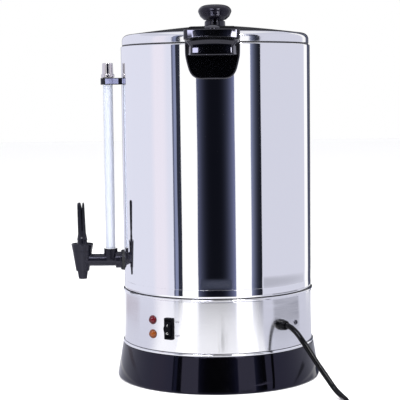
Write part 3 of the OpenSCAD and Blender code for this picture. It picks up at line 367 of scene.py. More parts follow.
# Material, colour, roughness, size and depth of the skin's grain, index of refraction, tint of its shine.
PLASTICS = {
    "base": ("base_gloss", GLOSS_BLACK, 0.05, 0.004, 1e-5, 1.47, (0.66, 0.63, 1.0)),
    "handle": ("handle_gloss", GLOSS_BLACK, 0.05, 0.004, 1e-5, 1.62, COOL),
    "knob": ("knob_satin", (0.003, 0.0025, 0.005), 0.20, 0.004, 1e-6, 1.38, COOL),
    "tap": ("tap_plastic", PAINT_BLACK, 0.17, 0.0007, 1e-5, 1.44, COOL),
    "bracket": ("bracket_paint", PAINT_BLACK, 0.15, 0.0007, 1e-5, 1.36, WHITE),
    "switch": ("switch_plastic", (0.002, 0.002, 0.003), 0.35, 0.0005, 5e-6, 1.12, WHITE),
    "gland": ("gland_nylon", (0.0006, 0.0006, 0.001), 0.14, 0.0006, 5e-6, 1.25, WHITE),
    # Black rubber of the feet and washers; the same finish colours the black rings that paint shade into
    # joints.
    "rubber_and_shade": ("black_rubber_and_painted_shade", (0.012, 0.012, 0.013), 0.55, 0.0005, 2e-5),
    "silicone": ("silicone", (0.72, 0.72, 0.70), 0.45, 0.0006, 1e-5),
    "nylon": ("white_nylon", (0.78, 0.78, 0.75), 0.40, 0.0006, 1e-5),
    "block": ("block_plastic", (0.75, 0.73, 0.64), 0.45, 0.0006, 1e-5),
    "sensor": ("sensor_bakelite", (0.03, 0.03, 0.032), 0.40, 0.0006, 1e-5),
    "sensor_brown": ("sensor_brown", (0.16, 0.05, 0.03), 0.40, 0.0006, 1e-5),
    "wire": ("wire_silicone", (0.50, 0.05, 0.03), 0.40, 0.0006, 1e-5),
    "cord": ("cord_vinyl", (0.0008, 0.0008, 0.0014), 0.10, 0.0015, 1e-5, 1.27, WHITE),
    "cover": ("cover_paint", (0.05, 0.05, 0.05), 0.50, 0.0008, 3e-5),
    "mark": ("mark_ink", (0.045, 0.045, 0.07), 0.55, 0.0003, 4e-6),
    "mark_white": ("mark_white", (0.45, 0.45, 0.45), 0.50, 0.0003, 4e-6),
    "tie": ("tie_fabric", (0.02, 0.02, 0.022), 0.75, 0.0007, 8e-5)}

# Colour and roughness of the plain metals.
METALS = {
    "fastener": ((0.62, 0.62, 0.64), 0.28), "earth": ((0.10, 0.10, 0.12), 0.25),
    "aluminium": ((0.66, 0.67, 0.69), 0.42), "element": ((0.33, 0.29, 0.25), 0.38),
    "brass": ((0.74, 0.56, 0.26), 0.30), "nickel": ((0.76, 0.73, 0.66), 0.16)}

# Colour of a lens at its rim and seen straight on; the darker rim is painted shade.
LENSES = {"lens_red": ((0.010, 0.0004, 0.0012), (0.075, 0.002, 0.006)),
          "lens_amber": ((0.024, 0.004, 0.001), (0.17, 0.042, 0.005))}


def steel(name, colour, roughness, spread, grain, lines, grain_depth):
    """Steel whose grain runs round the urn: fine lines in the roughness and in the surface."""
    made = Finish(name, colour, roughness, 1.0)
    wound = made.around()
    fine = made.noise(made.scaled(wound, (grain, lines, 1.0)), 1.0, 3.0, 0.6)
    broad = made.noise(made.scaled(wound, (2.0, 9.0, 1.0)), 1.0, 3.0)
    both = made.maths("ADD", fine, broad)
    made.feed(made.ramp(both, 0.6, 1.4, roughness - spread, roughness + spread), "Roughness")
    if grain_depth:
        made.bump(fine, 0.35, grain_depth)
    return made


def brushed_steel():
    """Steel of the lower housing, brushed round it."""
    made = Finish("brushed_steel", (0.86, 0.86, 0.89), 0.2, 1.0, Anisotropic=0.9, Anisotropic_Rotation=0.25)
    made.feed(made.node("Tangent", direction_type="RADIAL", axis="Z"), "Tangent")
    streak = made.noise(made.scaled(made.around(), (2.5, 2600.0, 1.0)), 1.0, 3.0, 0.6)
    shade = made.ramp(streak, 0.3, 0.7, 0.0, 1.0)
    made.feed(made.mix_colour(shade, (0.84, 0.84, 0.87), (0.92, 0.92, 0.95)), "Base Color")
    made.feed(made.ramp(streak, 0.3, 0.7, 0.09, 0.21), "Roughness")
    return made


def cloudy_finish(made, colour, roughness, cloud, detail, least, most, second_colour):
    """Roughness and colour that both vary a little from place to place."""
    clouds = made.noise(made.position(), cloud, detail)
    made.feed(made.ramp(clouds, 0.3, 0.7, roughness * least, roughness * most), "Roughness")
    made.feed(made.mix_colour(made.ramp(clouds, 0.3, 0.7, 0.0, 1.0), colour, second_colour), "Base Color")


def plastic(name, colour, roughness, grain_size, grain_depth, ior=1.5, tint=WHITE):
    """Moulded plastic: a fine skin, and clouds in the roughness and colour."""
    made = Finish(name, colour, roughness, IOR=ior, Specular_Tint=(*tint, 1.0))
    cloudy_finish(made, colour, roughness, 35.0, 3.0, 0.8, 1.25, [c * 1.25 + 0.0002 for c in colour])
    made.bump(made.noise(made.position(), 1.0 / grain_size, 2.0), 0.3, grain_depth)
    return made


def metal(name, colour, roughness):
    made = Finish(name, colour, roughness, 1.0)
    cloudy_finish(made, colour, roughness, 180.0, 4.0, 0.75, 1.3, [c * 0.88 for c in colour])
    made.bump(made.noise(made.position(), 2600.0, 2.0), 0.3, 1e-5)
    return made


def paint_arm_reflection(paint):
    """Paints a lavender patch onto the face of the bracket's arm, over its black paint: a painted
    reflection.
    """
    x, y, z = paint.split(paint.position())
    # Mask of the painted reflection: a box on the arm's front face, taken from position.
    plate = 1.0
    for along, low, high in ((y, -0.1637, -0.1443), (z, 0.4377, 0.4455), (x, 0.002, 1.0)):
        for edge, inside in ((low, 1.0), (high, 0.0)):
            step = paint.ramp(along, edge - ARM_REFLECTION_EDGE, edge + ARM_REFLECTION_EDGE, 1.0 - inside, inside)
            plate = paint.maths("MULTIPLY", step, plate)
    # Painted reflection: lavender inside the mask, the black paint elsewhere.
    paint.feed(paint.mix_colour(plate, PAINT_BLACK, (0.20, 0.21, 0.33)), "Base Color")


def gauge_glass():
    """Glass that is clearer in the middle of the tube than at its sides, and darker towards its sides:
    painted shade.
    """
    made = Finish("gauge_glass", (0.90, 0.93, 1.0), 0.04, IOR=1.47)
    facing = made.node("LayerWeight", output="Facing", Blend=0.35)
    # Painted shade: lavender in the middle of the tube, darker towards its sides.
    made.feed(made.mix_colour(facing, (0.66, 0.70, 0.82), (0.16, 0.18, 0.25)), "Base Color")
    made.feed(made.ramp(facing, 0.1, 1.0, 0.40, 0.92), "Alpha")
    smear = made.noise(made.scaled(made.position(), (60.0, 60.0, 8.0)), 1.0, 3.0)
    made.feed(made.ramp(smear, 0.45, 0.75, 0.0, 0.008), "Roughness")
    return made


def lens(name, deep, pale):
    made = Finish(name, deep, 0.08, IOR=1.49)
    # Painted shade: the colour darkens from the middle towards the rim as the face turns away, spread at
    # random.
    facing = made.node("LayerWeight", output="Facing", Blend=0.45)
    rim_shade_spread = made.ramp(made.noise(made.position(), 420.0, 2.0), 0.3, 0.7, 0.6, 1.2)
    made.feed(made.mix_colour(made.maths("MULTIPLY", facing, rim_shade_spread), pale, deep), "Base Color")
    return made


def make_materials():
    """Fills MATS with every finish, by name."""
    made = {key: steel(*row) for key, row in STEELS.items()}
    tank = made["tank"]
    waves = tank.noise(tank.scaled(tank.around(), (3.0, 2.2, 1.0)), 1.6, 1.0)
    tank.bump(waves, 0.25, 0.0006)
    made["housing"] = brushed_steel()
    made.update({key: plastic(*row) for key, row in PLASTICS.items()})
    # Painted reflection on the bracket's arm.
    paint_arm_reflection(made["bracket"])
    made.update({key: metal(key + "_metal", *row) for key, row in METALS.items()})
    made["glass"] = gauge_glass()
    made.update({key: lens(key, *row) for key, row in LENSES.items()})
    MATS.update({key: finish.owner for key, finish in made.items()})


# -------- sizes from the frame

def box_of(node):
    low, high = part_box(node)
    return Vector(low), Vector(high)


TANK_R = 140 * MM
SHEET = 0.8 * MM
HOUSING_R = 141 * MM
BASE_HIGH = box_of("base_skirt")[1]
TRIM_LOW, TRIM_HIGH = box_of("trim_ring")
HOUSING_LOW, HOUSING_HIGH = box_of("lower_housing")
SEAM_LOW, SEAM_HIGH = box_of("seam_ring")
TANK_LOW, TANK_HIGH = box_of("tank_shell")
LID_LOW, LID_HIGH = box_of("lid_shell")
KNOB_LOW, KNOB_HIGH = box_of("lid_knob")
KNOB_FOOT_LOW, KNOB_FOOT_HIGH = box_of("knob_foot")
BEAD_R = 1.8 * MM
WAIST = 0.2 * MM
SEAM_GAP = 0.6 * MM
TRIM_LINE = 0.6 * MM
LID_LINE = 1.8 * MM
RING_IN_R = 132 * MM
GRIP_HALF_MM = 38.4
GRIP_TOP = box_of("handle_right")[1].z - 2.9 * MM
TAP_Y = -204 * MM
GAUGE_Y = -161 * MM
SWITCH_AZ, LAMP_AZ, GLAND_AZ = radians(-28), radians(-40), radians(41)
CONTROL_Z = 90 * MM
LAMP_PITCH = 20.4 * MM
GLAND_Z = 92 * MM


def heading(az):
    return Vector((cos(az), sin(az), 0))


def wall(az, r, z):
    """Frame on the wall at angle az: Z points outwards, X down, Y along the wall."""
    out, down = heading(az), Vector((0, 0, -1))
    axes = Matrix((down, out.cross(down), out)).transposed()
    return Matrix.Translation(out * r + Vector((0, 0, z))) @ axes.to_4x4()


# -------- shells turned about the urn's axis

def make_base():
    foot_r, top_r, top = BASE_HIGH.x, TRIM_HIGH.x, BASE_HIGH.z
    foot_in_r, rib_r, rib_low, rib_high, wall_t = 144 * MM, 137 * MM, 9 * MM, 11.5 * MM, 3 * MM
    base = turned("base", [
        (foot_in_r, 0), (foot_r, 0), (top_r, top), (RING_IN_R, top), (RING_IN_R, top - wall_t),
        (top_r - wall_t, top - wall_t), (foot_r - 4 * MM, rib_high), (rib_r, rib_high), (rib_r, rib_low),
        (foot_in_r, rib_low)], [0.3, 4.2, 0.9, 0.3, 0.3, 1, 1, 0.3, 0.3, 0.3], 6, 320)
    place(base, "urn", "base", "base_black", "base_skirt")


def half_round_ring(name, outer, low, high):
    """Ring whose outer edge is half a circle in section."""
    half = (high - low) / 2
    edge = arc_points(outer - half, low + half, half, -90, 90, 16)
    return lathe(name, [(RING_IN_R, low)] + edge + [(RING_IN_R, high)], 320, closed=True)


def flat_ring(name, inner, outer, low, high):
    return lathe(name, [(inner, low), (outer, low), (outer, high), (inner, high)], closed=True)


def painted_shade_line(name, radius, low, high):
    """Thin black ring put in a joint, where it shows as a dark line: painted shade."""
    place(flat_ring(name, RING_IN_R, radius, low, high), "urn", "rubber_and_shade", "seal_black")


def make_trim():
    trim = half_round_ring("trim", TRIM_HIGH.x, TRIM_LOW.z, TRIM_HIGH.z)
    place(trim, "urn", "trim", "trim_chrome", "trim_ring")
    # Black ring between the trim and the housing: painted shade in the joint.
    painted_shade_line("trim_line", HOUSING_R - 0.5 * MM, TRIM_HIGH.z - 0.1 * MM, TRIM_HIGH.z + TRIM_LINE)


def make_housing():
    """Brushed wall, with the window through which the body of the switch passes."""
    low, high, in_r = HOUSING_LOW.z + TRIM_LINE, HOUSING_HIGH.z, HOUSING_R - SHEET
    housing = turned("housing", [
        (RING_IN_R, low), (HOUSING_R, low), (HOUSING_R, high), (RING_IN_R, high), (RING_IN_R, high - SHEET),
        (in_r, high - SHEET), (in_r, low + SHEET), (RING_IN_R, low + SHEET)],
        [0.2, 0.5, 0.9, 0.2, 0.2, 0.3, 0.3, 0.2], 5, 320)
    window = Matrix.Diagonal((20 * MM, 12 * MM, 27.6 * MM, 1))
    at = Matrix.Rotation(SWITCH_AZ, 4, "Z") @ Matrix.Translation((HOUSING_R, 0, CONTROL_Z))
    cut_boxes(housing, [at @ window])
    housing.data.set_sharp_from_angle(angle=radians(50))
    place(housing, "urn", "housing", "housing_steel", "lower_housing")


def make_seam():
    """Bright bead under the tank wall, with a narrow gap above it that a black ring darkens: painted shade.
    """
    top = SEAM_HIGH.z - SEAM_GAP
    seam = half_round_ring("seam", SEAM_HIGH.x, SEAM_LOW.z, top)
    place(seam, "urn", "trim", "trim_chrome", "seam_ring")
    # Black ring in the gap above the bead: painted shade.
    painted_shade_line("seam_line", TANK_R - 0.3 * MM, top - 0.05 * MM, SEAM_HIGH.z)


def eased(t):
    return (1 - cos(pi * t)) / 2


def make_tank():
    """Polished wall: curled-in foot, a shallow waist above it, and the rim rolled inwards."""
    low, curl = TANK_LOW.z, 2.4 * MM
    outer = arc_points(TANK_R - curl, low + curl, curl, -62, 0, 8)
    outer += [(TANK_R - WAIST * eased(k / 16), low + (3.2 + 9.8 * k / 16) * MM) for k in range(1, 17)]
    outer += [(TANK_R - WAIST * eased(1 - k / 32), low + (12 + 22 * k / 32) * MM) for k in range(33)]
    inner = [(r - SHEET, z) for r, z in reversed(outer)]
    bead = arc_points(TANK_R - BEAD_R, TANK_HIGH.z - BEAD_R, BEAD_R, 0, 300, 30)
    tank = lathe("tank", outer + bead + inner, 512, closed=True)
    place(tank, "urn", "tank", "tank_steel", "tank_shell")


def lid_line(shoulder_steps, dome_steps):
    """The lid's upper outline, from the skirt's lower edge to the middle."""
    skirt_r, shoulder_r, flat_r, top = LID_HIGH.x, 9 * MM, 17 * MM, LID_HIGH.z
    edge_r, edge_z = skirt_r - shoulder_r, LID_LOW.z + 17 * MM
    line = [(skirt_r, LID_LOW.z + LID_LINE)]
    line += arc_points(edge_r, edge_z - shoulder_r, shoulder_r, 0, 78, shoulder_steps)
    for k in range(1, dome_steps + 1):
        r = edge_r + (flat_r - edge_r) * k / dome_steps
        rise = 1 - max(0.0, (r - flat_r) / (edge_r - flat_r)) ** 1.3
        line.append((r, edge_z + (top - edge_z) * rise))
    return line + [(0.0, top)]


def make_lid():
    upper = lid_line(12, 40)
    lower = [(max(r - SHEET, 0.0), z - SHEET) for r, z in reversed(upper[1:])]
    skirt_r, hem_r, hem_z = LID_HIGH.x, 0.7 * MM, LID_LOW.z + LID_LINE
    hem = arc_points(skirt_r - hem_r, hem_z + hem_r, hem_r, 180, 360, 10)
    lid = lathe("lid", lower + hem + upper[1:], 512)
    place(lid, "lid", "lid", "lid_steel", "lid_shell")
    # Black ring under the lid's hem: painted shade in the joint between the lid and the tank's rim.
    line = flat_ring("lid_line", skirt_r - 2.6 * MM, skirt_r - 0.5 * MM,
                     LID_LOW.z + 0.02 * MM, hem_z + 0.6 * MM)
    place(line, "lid", "rubber_and_shade", "seal_black")


def make_knob():
    foot_r, foot_low, foot_high = KNOB_FOOT_HIGH.x, KNOB_FOOT_LOW.z, KNOB_FOOT_HIGH.z
    foot = turned("knob_foot_turned", [
        (0, foot_low), (foot_r, foot_low), (foot_r - 0.4 * MM, foot_high - 2.2 * MM),
        (foot_r - 2.2 * MM, foot_high - 1.6 * MM), (foot_r - 2.2 * MM, foot_high), (0, foot_high)],
        [0, 0.8, 0.9, 0.4, 0.3, 0], 5, 128, closed=False)
    place(foot, "lid", "handle", "handle_black", "knob_foot")

    r, low, high = KNOB_HIGH.x, KNOB_LOW.z, KNOB_HIGH.z
    waist_z = low + (high - low) * 0.53
    under = [(0, low), (foot_r + 0.8 * MM, low), (foot_r + 6.2 * MM, low + 4.8 * MM), (r, low + 11.5 * MM)]
    crown = [(r * c ** 0.58 if c > 1e-9 else 0.0, waist_z + (high - waist_z) * s)
             for c, s in arc_points(0, 0, 1.0, 0, 90, 30)]
    knob = lathe("knob", rounded(under, [0, 0.8 * MM, 7 * MM, 0], 10)[:-1] + crown, 160)
    place(knob, "lid", "knob", "handle_black", "lid_knob")


# -------- handles, tap and gauge

# How far along its width each point of the grip's bowed front lies.
BOW = [-1, -0.68, -0.54, -0.41, -0.3, -0.2, -0.1, 0, 0.1, 0.2, 0.3, 0.41, 0.54, 0.68, 1]
# Half the outline of the back plate: distance from its middle and height above its lower edge.
PLATE_HALF_MM = [
    (38, 62), (38, 40), (37.6, 32), (36.6, 26.5), (35.2, 20.5), (33.1, 13), (30.2, 7.2), (26.4, 3.2),
    (21.4, 0.8), (15.5, 0), (7, 0)]
# Distance of each ring of the plate from the urn's axis (the first lies on the wall), and its inset.
PLATE_RINGS_MM = (
    (None, 0), (145.6, 0), (146.6, 0.25), (147.4, 0.9), (147.8, 1.8), (147.8, 2.4), (147.8, 9))


def spaced(points, count):
    """The same closed outline with evenly spaced points."""
    ring = list(points) + [points[0]]
    run = [0.0]
    for a, b in zip(ring, ring[1:]):
        run.append(run[-1] + (b - a).length)
    at = np.linspace(0.0, run[-1], count, endpoint=False)
    xs, ys = np.interp(at, run, [p.x for p in ring]), np.interp(at, run, [p.y for p in ring])
    return [Vector((x, y)) for x, y in zip(xs, ys)]


def grip_outline(front, bulge, half, wall_half, turn, rear=None):
    """Plan of the grip at one level, in mm: bowed front, round corners, rear on the tank wall or flat."""
    seat = [wall_half * k / 5 for k in range(-5, 6)]
    back = [(rear or sqrt((TANK_R / MM + 0.1) ** 2 - y * y), y) for y in seat]
    nose = [(front - bulge * t * t, half * t) for t in BOW]
    radii = [0] * 6 + [turn] + [0] * 13 + [turn] + [0] * 5
    return spaced(rounded(back[5::-1] + nose + back[:5:-1], radii, 8, closed=True), 240)


def grip_levels():
    """Outer skin of the grip from its top down to the lip, then the finger pocket upwards, in mm."""
    levels, centre = [], Vector((158, 0))

    def add(z, *plan, droop=0.0, shrink=1.0, rear=None):
        levels.append([(centre + (p - centre) * shrink, z - droop * (p.y / GRIP_HALF_MM) ** 2)
                       for p in grip_outline(*plan, rear=rear)])

    top = GRIP_TOP / MM
    slope_z = top - 4.4
    for k in (0.03, 0.5, 0.94):
        add(top, 162.5, 1.5, 30, 31, 6, shrink=k)
    for k in range(7):
        t = k / 6
        add(top - 4.4 * t, 162.5 + 16.4 * t, 1.5 + 3 * t, 30 + 7 * t, 31 + 6.6 * t, 6)
    for a in (62, 50, 38, 26, 20):
        c, s = cos_sin(a)
        add(slope_z + 2.1 * s - 2.0, 178.5 + 2.1 * c, 4.5, 36.5 + 1.9 * c, 38, 6)
    high, low = slope_z - 1.4, top - 14.1
    for k in (0.04, 0.2, 0.4, 0.6, 0.8, 0.96, 1.0):
        add(high + (low - high) * k, 180.5 + 4.3 * k, 4.5, GRIP_HALF_MM, 38.2, 6, droop=3.2 * k)
    add(low - 0.4, 184.8, 4.5, GRIP_HALF_MM, 38.2, 6, droop=3.2)
    add(low - 0.8, 184.3, 4.5, GRIP_HALF_MM - 0.3, 38.2, 6, droop=3.2)
    for k in range(1, 13):
        c, s = cos_sin(7.5 * k)
        down = 1 - c
        add(low - 0.9 - 12.2 * down, 184.0 - 13.4 * s, 4.5 - 2 * s, 38 - 9.3 * down, 38.2, 6 - 2 * down,
            droop=3.2 * c)
    high, low = low - 13.1, top - 36
    for k in (0.06, 0.3, 0.5, 0.7, 0.92):
        add(high + (low - high) * k, 170.5 + 3.0 * k, 2.5, 28.6, 38, 4)
    for a in (20, 0, -25, -50, -75, -90):
        c, s = cos_sin(a)
        add(low - 1.6 + 1.9 * s, 172.0 + 1.9 * c, 2.5, 27.2 + 1.9 * c, 37.8, 4)
    mouth = low - 3.5
    for out, rise, shrink in (
            (168.6, 0, 1), (167.4, 0.3, 1), (167, 1.2, 1), (167, 8, 1), (167, 16, 1),
            (166.6, 19.4, 1), (165.4, 20.6, 1), (165, 20.8, 0.75), (165, 20.8, 0.4), (165, 20.8, 0.05)):
        add(mouth + rise, out, 1.5, 24.5, 34, 3, shrink=shrink, rear=147.5)
    return levels


def grip_mesh(name):
    levels = grip_levels()
    rows, count = len(levels), len(levels[0])
    verts = [(p.x * MM, p.y * MM, z * MM) for level in levels for p, z in level]
    ends = [tuple(range(count)), tuple(reversed(range((rows - 1) * count, rows * count)))]
    return solid(name, verts, band_faces(rows, count) + ends)


def back_plate(name, low):
    """Shield on the tank wall behind the fingers, with a rounded edge."""
    side = [p.xy for p in through([(y, z, 0) for y, z in PLATE_HALF_MM], 6)]
    ring = side + [Vector((-p.x, p.y)) for p in reversed(side)]
    centre, count, rows = Vector((0, 30)), len(ring), len(PLATE_RINGS_MM)
    verts = []
    for out, inset in PLATE_RINGS_MM:
        for p in ring:
            away = p - centre
            at = centre + away * (1 - inset / away.length)
            x = out or sqrt((TANK_R / MM + 0.05) ** 2 - at.x ** 2)
            verts.append((x * MM, at.x * MM, low + at.y * MM))
    return solid(name, verts, band_faces(rows, count) + [tuple(range((rows - 1) * count, rows * count))])


def make_handles():
    """Each handle: grip with its finger pocket, back plate and the low round boss on top."""
    low = box_of("handle_right")[0].z
    boss_r, boss_h = 10.2 * MM, 3.1 * MM
    boss = [(boss_r, -1 * MM), (boss_r, 0)]
    boss += [(boss_r * c, boss_h * s) for c, s in arc_points(0, 0, 1.0, 0, 90, 14)[1:-1]] + [(0, boss_h)]
    seat = Matrix.Translation((169.5 * MM, 0.6 * MM, GRIP_TOP - 1.9 * MM))
    seat @= Matrix.Rotation(radians(15), 4, "Y")
    for side, turn in (("right", 0.0), ("left", pi)):
        spin = Matrix.Rotation(turn, 4, "Z")
        for piece, at in ((grip_mesh("grip_" + side), spin), (back_plate("plate_" + side, low), spin),
                          (lathe("boss_" + side, boss, 96), spin @ seat)):
            place(in_frame(piece, at), "urn", "handle", "handle_black", "handle_" + side)


def make_tap():
    place(softened("tap_moulding", "tap_body", 0.5 * MM, 3), "urn", "tap", "tap_black", "tap_body")
    low, high = box_of("tap_bonnet")
    seat_r, seam_r, top_r, neck_r, stem_r = 9.5 * MM, 14.8 * MM, high.x, 7.4 * MM, 2.55 * MM
    plate_z = low.z + 10.7 * MM
    under_z = plate_z - 3 * MM
    bonnet = turned("bonnet", [
        (seat_r, low.z), (seam_r, low.z), (top_r, plate_z), (neck_r, plate_z), (neck_r, high.z),
        (stem_r, high.z), (stem_r, under_z), (seat_r, under_z)],
        [0.2, 0.3, 1.3, 0.6, 0.6, 0.2, 0.2, 0.2], 5, 128, centre_y=TAP_Y)
    place(bonnet, "urn", "tap", "tap_black", "tap_bonnet")
    place(softened("lever", "tap_lever", 0.32 * MM, 3), "lever", "tap", "tap_black", "tap_lever")


def make_spring():
    """Round wire spring over the stem."""
    low, high = box_of("tap_spring")
    wire, turns, around, steps, lift = 0.6 * MM, 5, 16, 28, 4.2 * MM
    coil_r, centre_y, climb = high.x - wire, (low.y + high.y) / 2, high.z - low.z - 2 * wire
    rows = turns * steps + 1
    verts = []
    for k in range(rows):
        out = heading(2 * pi * k / steps)
        along = Vector((-coil_r * out.y, coil_r * out.x, climb / (2 * pi * turns))).normalized()
        up = along.cross(out)
        centre = out * coil_r + Vector((0, centre_y, low.z + wire + climb * k / (rows - 1)))
        for m in range(around):
            b = 2 * pi * m / around
            verts.append(centre + out * wire * cos(b) + up * wire * sin(b))
    ends = [tuple(range(around)), tuple(range((rows - 1) * around, rows * around))]
    spring = solid("spring_wire", verts, band_faces(rows, around) + ends)
    spring.data.set_sharp_from_angle(angle=radians(50))
    place(spring, "urn", "fastener", "fastener_steel", "tap_spring")
    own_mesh(spring)


def make_gauge():
    low, high = box_of("gauge_tube")
    outer, inner = 7.2 * MM, 5.4 * MM
    tube = turned("glass_tube", [(inner, low.z), (outer, low.z), (outer, high.z), (inner, high.z)],
                  [0.4] * 4, 4, 128, centre_y=GAUGE_Y)
    place(tube, "urn", "glass", "gauge_glass", "gauge_tube")
    place(softened("bracket", "gauge_bracket", 0.4 * MM, 3), "urn", "bracket", "tap_black", "gauge_bracket")
    cap_low, cap_high = box_of("gauge_cap")
    seat, plug_r, hole_r = high.z, inner - 0.02 * MM, 0.8 * MM
    flange_r, cap_r, top = cap_high.x, 8.3 * MM, cap_high.z
    cap = turned("cap", [
        (hole_r, cap_low.z), (plug_r, cap_low.z), (plug_r, seat), (cap_r, seat), (flange_r, seat),
        (flange_r, seat + 4.6 * MM), (cap_r, seat + 5.4 * MM), (cap_r - 0.4 * MM, top), (hole_r, top)],
        [0, 0.3, 0, 0, 1.2, 1.4, 0.6, 1.4, 0], 6, 128, centre_y=GAUGE_Y)
    place(cap, "urn", "cap", "trim_chrome", "gauge_cap")


# -------- switch, lamps, gland, screw and plug

LETTER_THICKNESS = 0.05 * MM
CAP_SHARE = 0.7
EARTH_AZ, EARTH_Z = radians(54), 91 * MM
PLUG_FACE = Vector((357 * MM, 26 * MM, 18.5 * MM))
PLUG_LEN_MM = 60
CORD_R_MM = 4.0


def make_switch():
    body = softened("switch_moulding", "switch_body", 0.25 * MM, 2)
    place(body, "urn", "switch", "switch_black", "switch_body")
    rocker = softened("rocker_moulding", "switch_rocker", 0.2 * MM, 2)
    place(rocker, "rocker", "switch", "switch_black", "switch_rocker")
    mesh = rocker.data
    face = BVHTree.FromPolygons([v.co for v in mesh.vertices], [p.vertices[:] for p in mesh.polygons])
    marked("rocker_on", "I", 5.6 * MM, face)
    marked("rocker_off", "O", -6.2 * MM, face)


def letters(name, text, height, spot):
    """Thin letters; spot gives each point, across, up and out from their middle, its place."""
    curve = bpy.data.curves.new(name, "FONT")
    curve.body = text
    curve.size = height / CAP_SHARE
    curve.align_x = "CENTER"
    curve.align_y = "CENTER"
    curve.offset = height * 0.012
    flat = object_of(name, curve)
    mesh = evaluated_mesh(flat)
    bpy.data.objects.remove(flat)
    bm = bmesh.new()
    bm.from_mesh(mesh)
    bpy.data.meshes.remove(mesh)
    bmesh.ops.solidify(bm, geom=bm.faces[:], thickness=LETTER_THICKNESS)
    for v in bm.verts:
        v.co = spot(*v.co)
    bmesh.ops.recalc_face_normals(bm, faces=bm.faces)
    return object_from(name, bm)


def marked(name, text, rise, face):
    """Letter printed on the rocker's curved face."""
    out = heading(SWITCH_AZ)
    side = Vector((-out.y, out.x, 0))

    def on_face(across, up, height):
        start = out * 0.2 + side * across + Vector((0, 0, CONTROL_Z + rise + up))
        hit, normal, _, _ = face.ray_cast(start, -out)
        return hit + normal * (0.03 * MM + height)

    place(letters(name, text, 3.0 * MM, on_face), "rocker", "mark_white", "switch_black")


def printed(name, text, az, z):
    """Letters printed on the housing round it."""
    def on_wall(across, up, height):
        return heading(az + across / HOUSING_R) * (HOUSING_R + 0.02 * MM + height) + Vector((0, 0, z + up))

    place(letters(name, text, 2.9 * MM, on_wall), "urn", "mark", "housing_steel")


def make_lamps():
    flange_r, flange_h, dome_h = 6.5 * MM, 1.2 * MM, 5.7 * MM
    for node, name, side in (("boil_lamp_lens", "lens_red", 1), ("warm_lamp_lens", "lens_amber", -1)):
        lamp_lens = turned(name, [
            (0, 0), (flange_r, 0), (flange_r, flange_h), (flange_r - 0.7 * MM, flange_h),
            (flange_r - 1.2 * MM, 2.6 * MM), (flange_r - 2.3 * MM, 4.1 * MM), (2.6 * MM, dome_h - 0.15 * MM),
            (0, dome_h)], [0, 0.2, 0.4, 0.3, 1.2, 1.2, 1.5, 0], 5, 96, closed=False)
        in_frame(lamp_lens, wall(LAMP_AZ, HOUSING_R, CONTROL_Z + side * LAMP_PITCH / 2))
        place(lamp_lens, "urn", name, name, node)


def make_gland():
    flange_r, flange_h, tip_r, long = 8 * MM, 3 * MM, 5.4 * MM, 12 * MM
    thread_r, mouth_r, deep, edge = 6.2 * MM, 4.1 * MM, 4 * MM, 0.5 * MM
    dome_r, dome_z = flange_r - edge, flange_h + edge
    dome = [(tip_r + (dome_r - tip_r) * c, dome_z + (long - dome_z) * s)
            for c, s in arc_points(0, 0, 1.0, 0, 90, 10)]
    rim = rounded([(thread_r, 0), (flange_r, 0), (flange_r, flange_h), (dome_r, dome_z)],
                  [0, 0.3 * MM, 0.4 * MM, 0], 4)
    mouth = [(tip_r - 0.6 * MM, long), (mouth_r, long - 0.6 * MM), (mouth_r, long - deep), (0, long - deep)]
    gland = lathe("gland", [(0, -long), (thread_r, -long)] + [tuple(p) for p in rim] + dome[1:] + mouth, 96)
    in_frame(gland, wall(GLAND_AZ, HOUSING_R, GLAND_Z))
    place(gland, "urn", "gland", "cord_black", "cable_gland")


def make_earth_screw():
    """Pan head with a cross recess."""
    head_r, head_h, slot_w, slot_r, slot_deep = 3.6 * MM, 2.2 * MM, 0.9 * MM, 2.2 * MM, 1.6 * MM
    head = turned("earth_screw_head", [
        (0, 0), (head_r, 0), (head_r, 1 * MM), (head_r - 1.4 * MM, head_h), (0, head_h)],
        [0, 0, 0.5, 1, 0], 5, 64, closed=False)
    low, high = -10 * MM, 0.2 * MM
    shank = lathe("earth_screw_shank", [(0, low), (2 * MM, low), (2 * MM, high), (0, high)], 32)
    bar = Matrix.Diagonal((2 * slot_r, slot_w, slot_deep, 1))
    cut_boxes(head, [Matrix.Translation((0, 0, head_h)) @ Matrix.Rotation(turn + 0.35, 4, "Z") @ bar
                     for turn in (0, pi / 2)])
    for piece, finish in ((head, "earth"), (shank, "fastener")):
        in_frame(piece, wall(EARTH_AZ, HOUSING_R, EARTH_Z))
        piece.data.set_sharp_from_angle(angle=radians(40))
        place(piece, "urn", finish, "fastener_steel", "earth_screw")


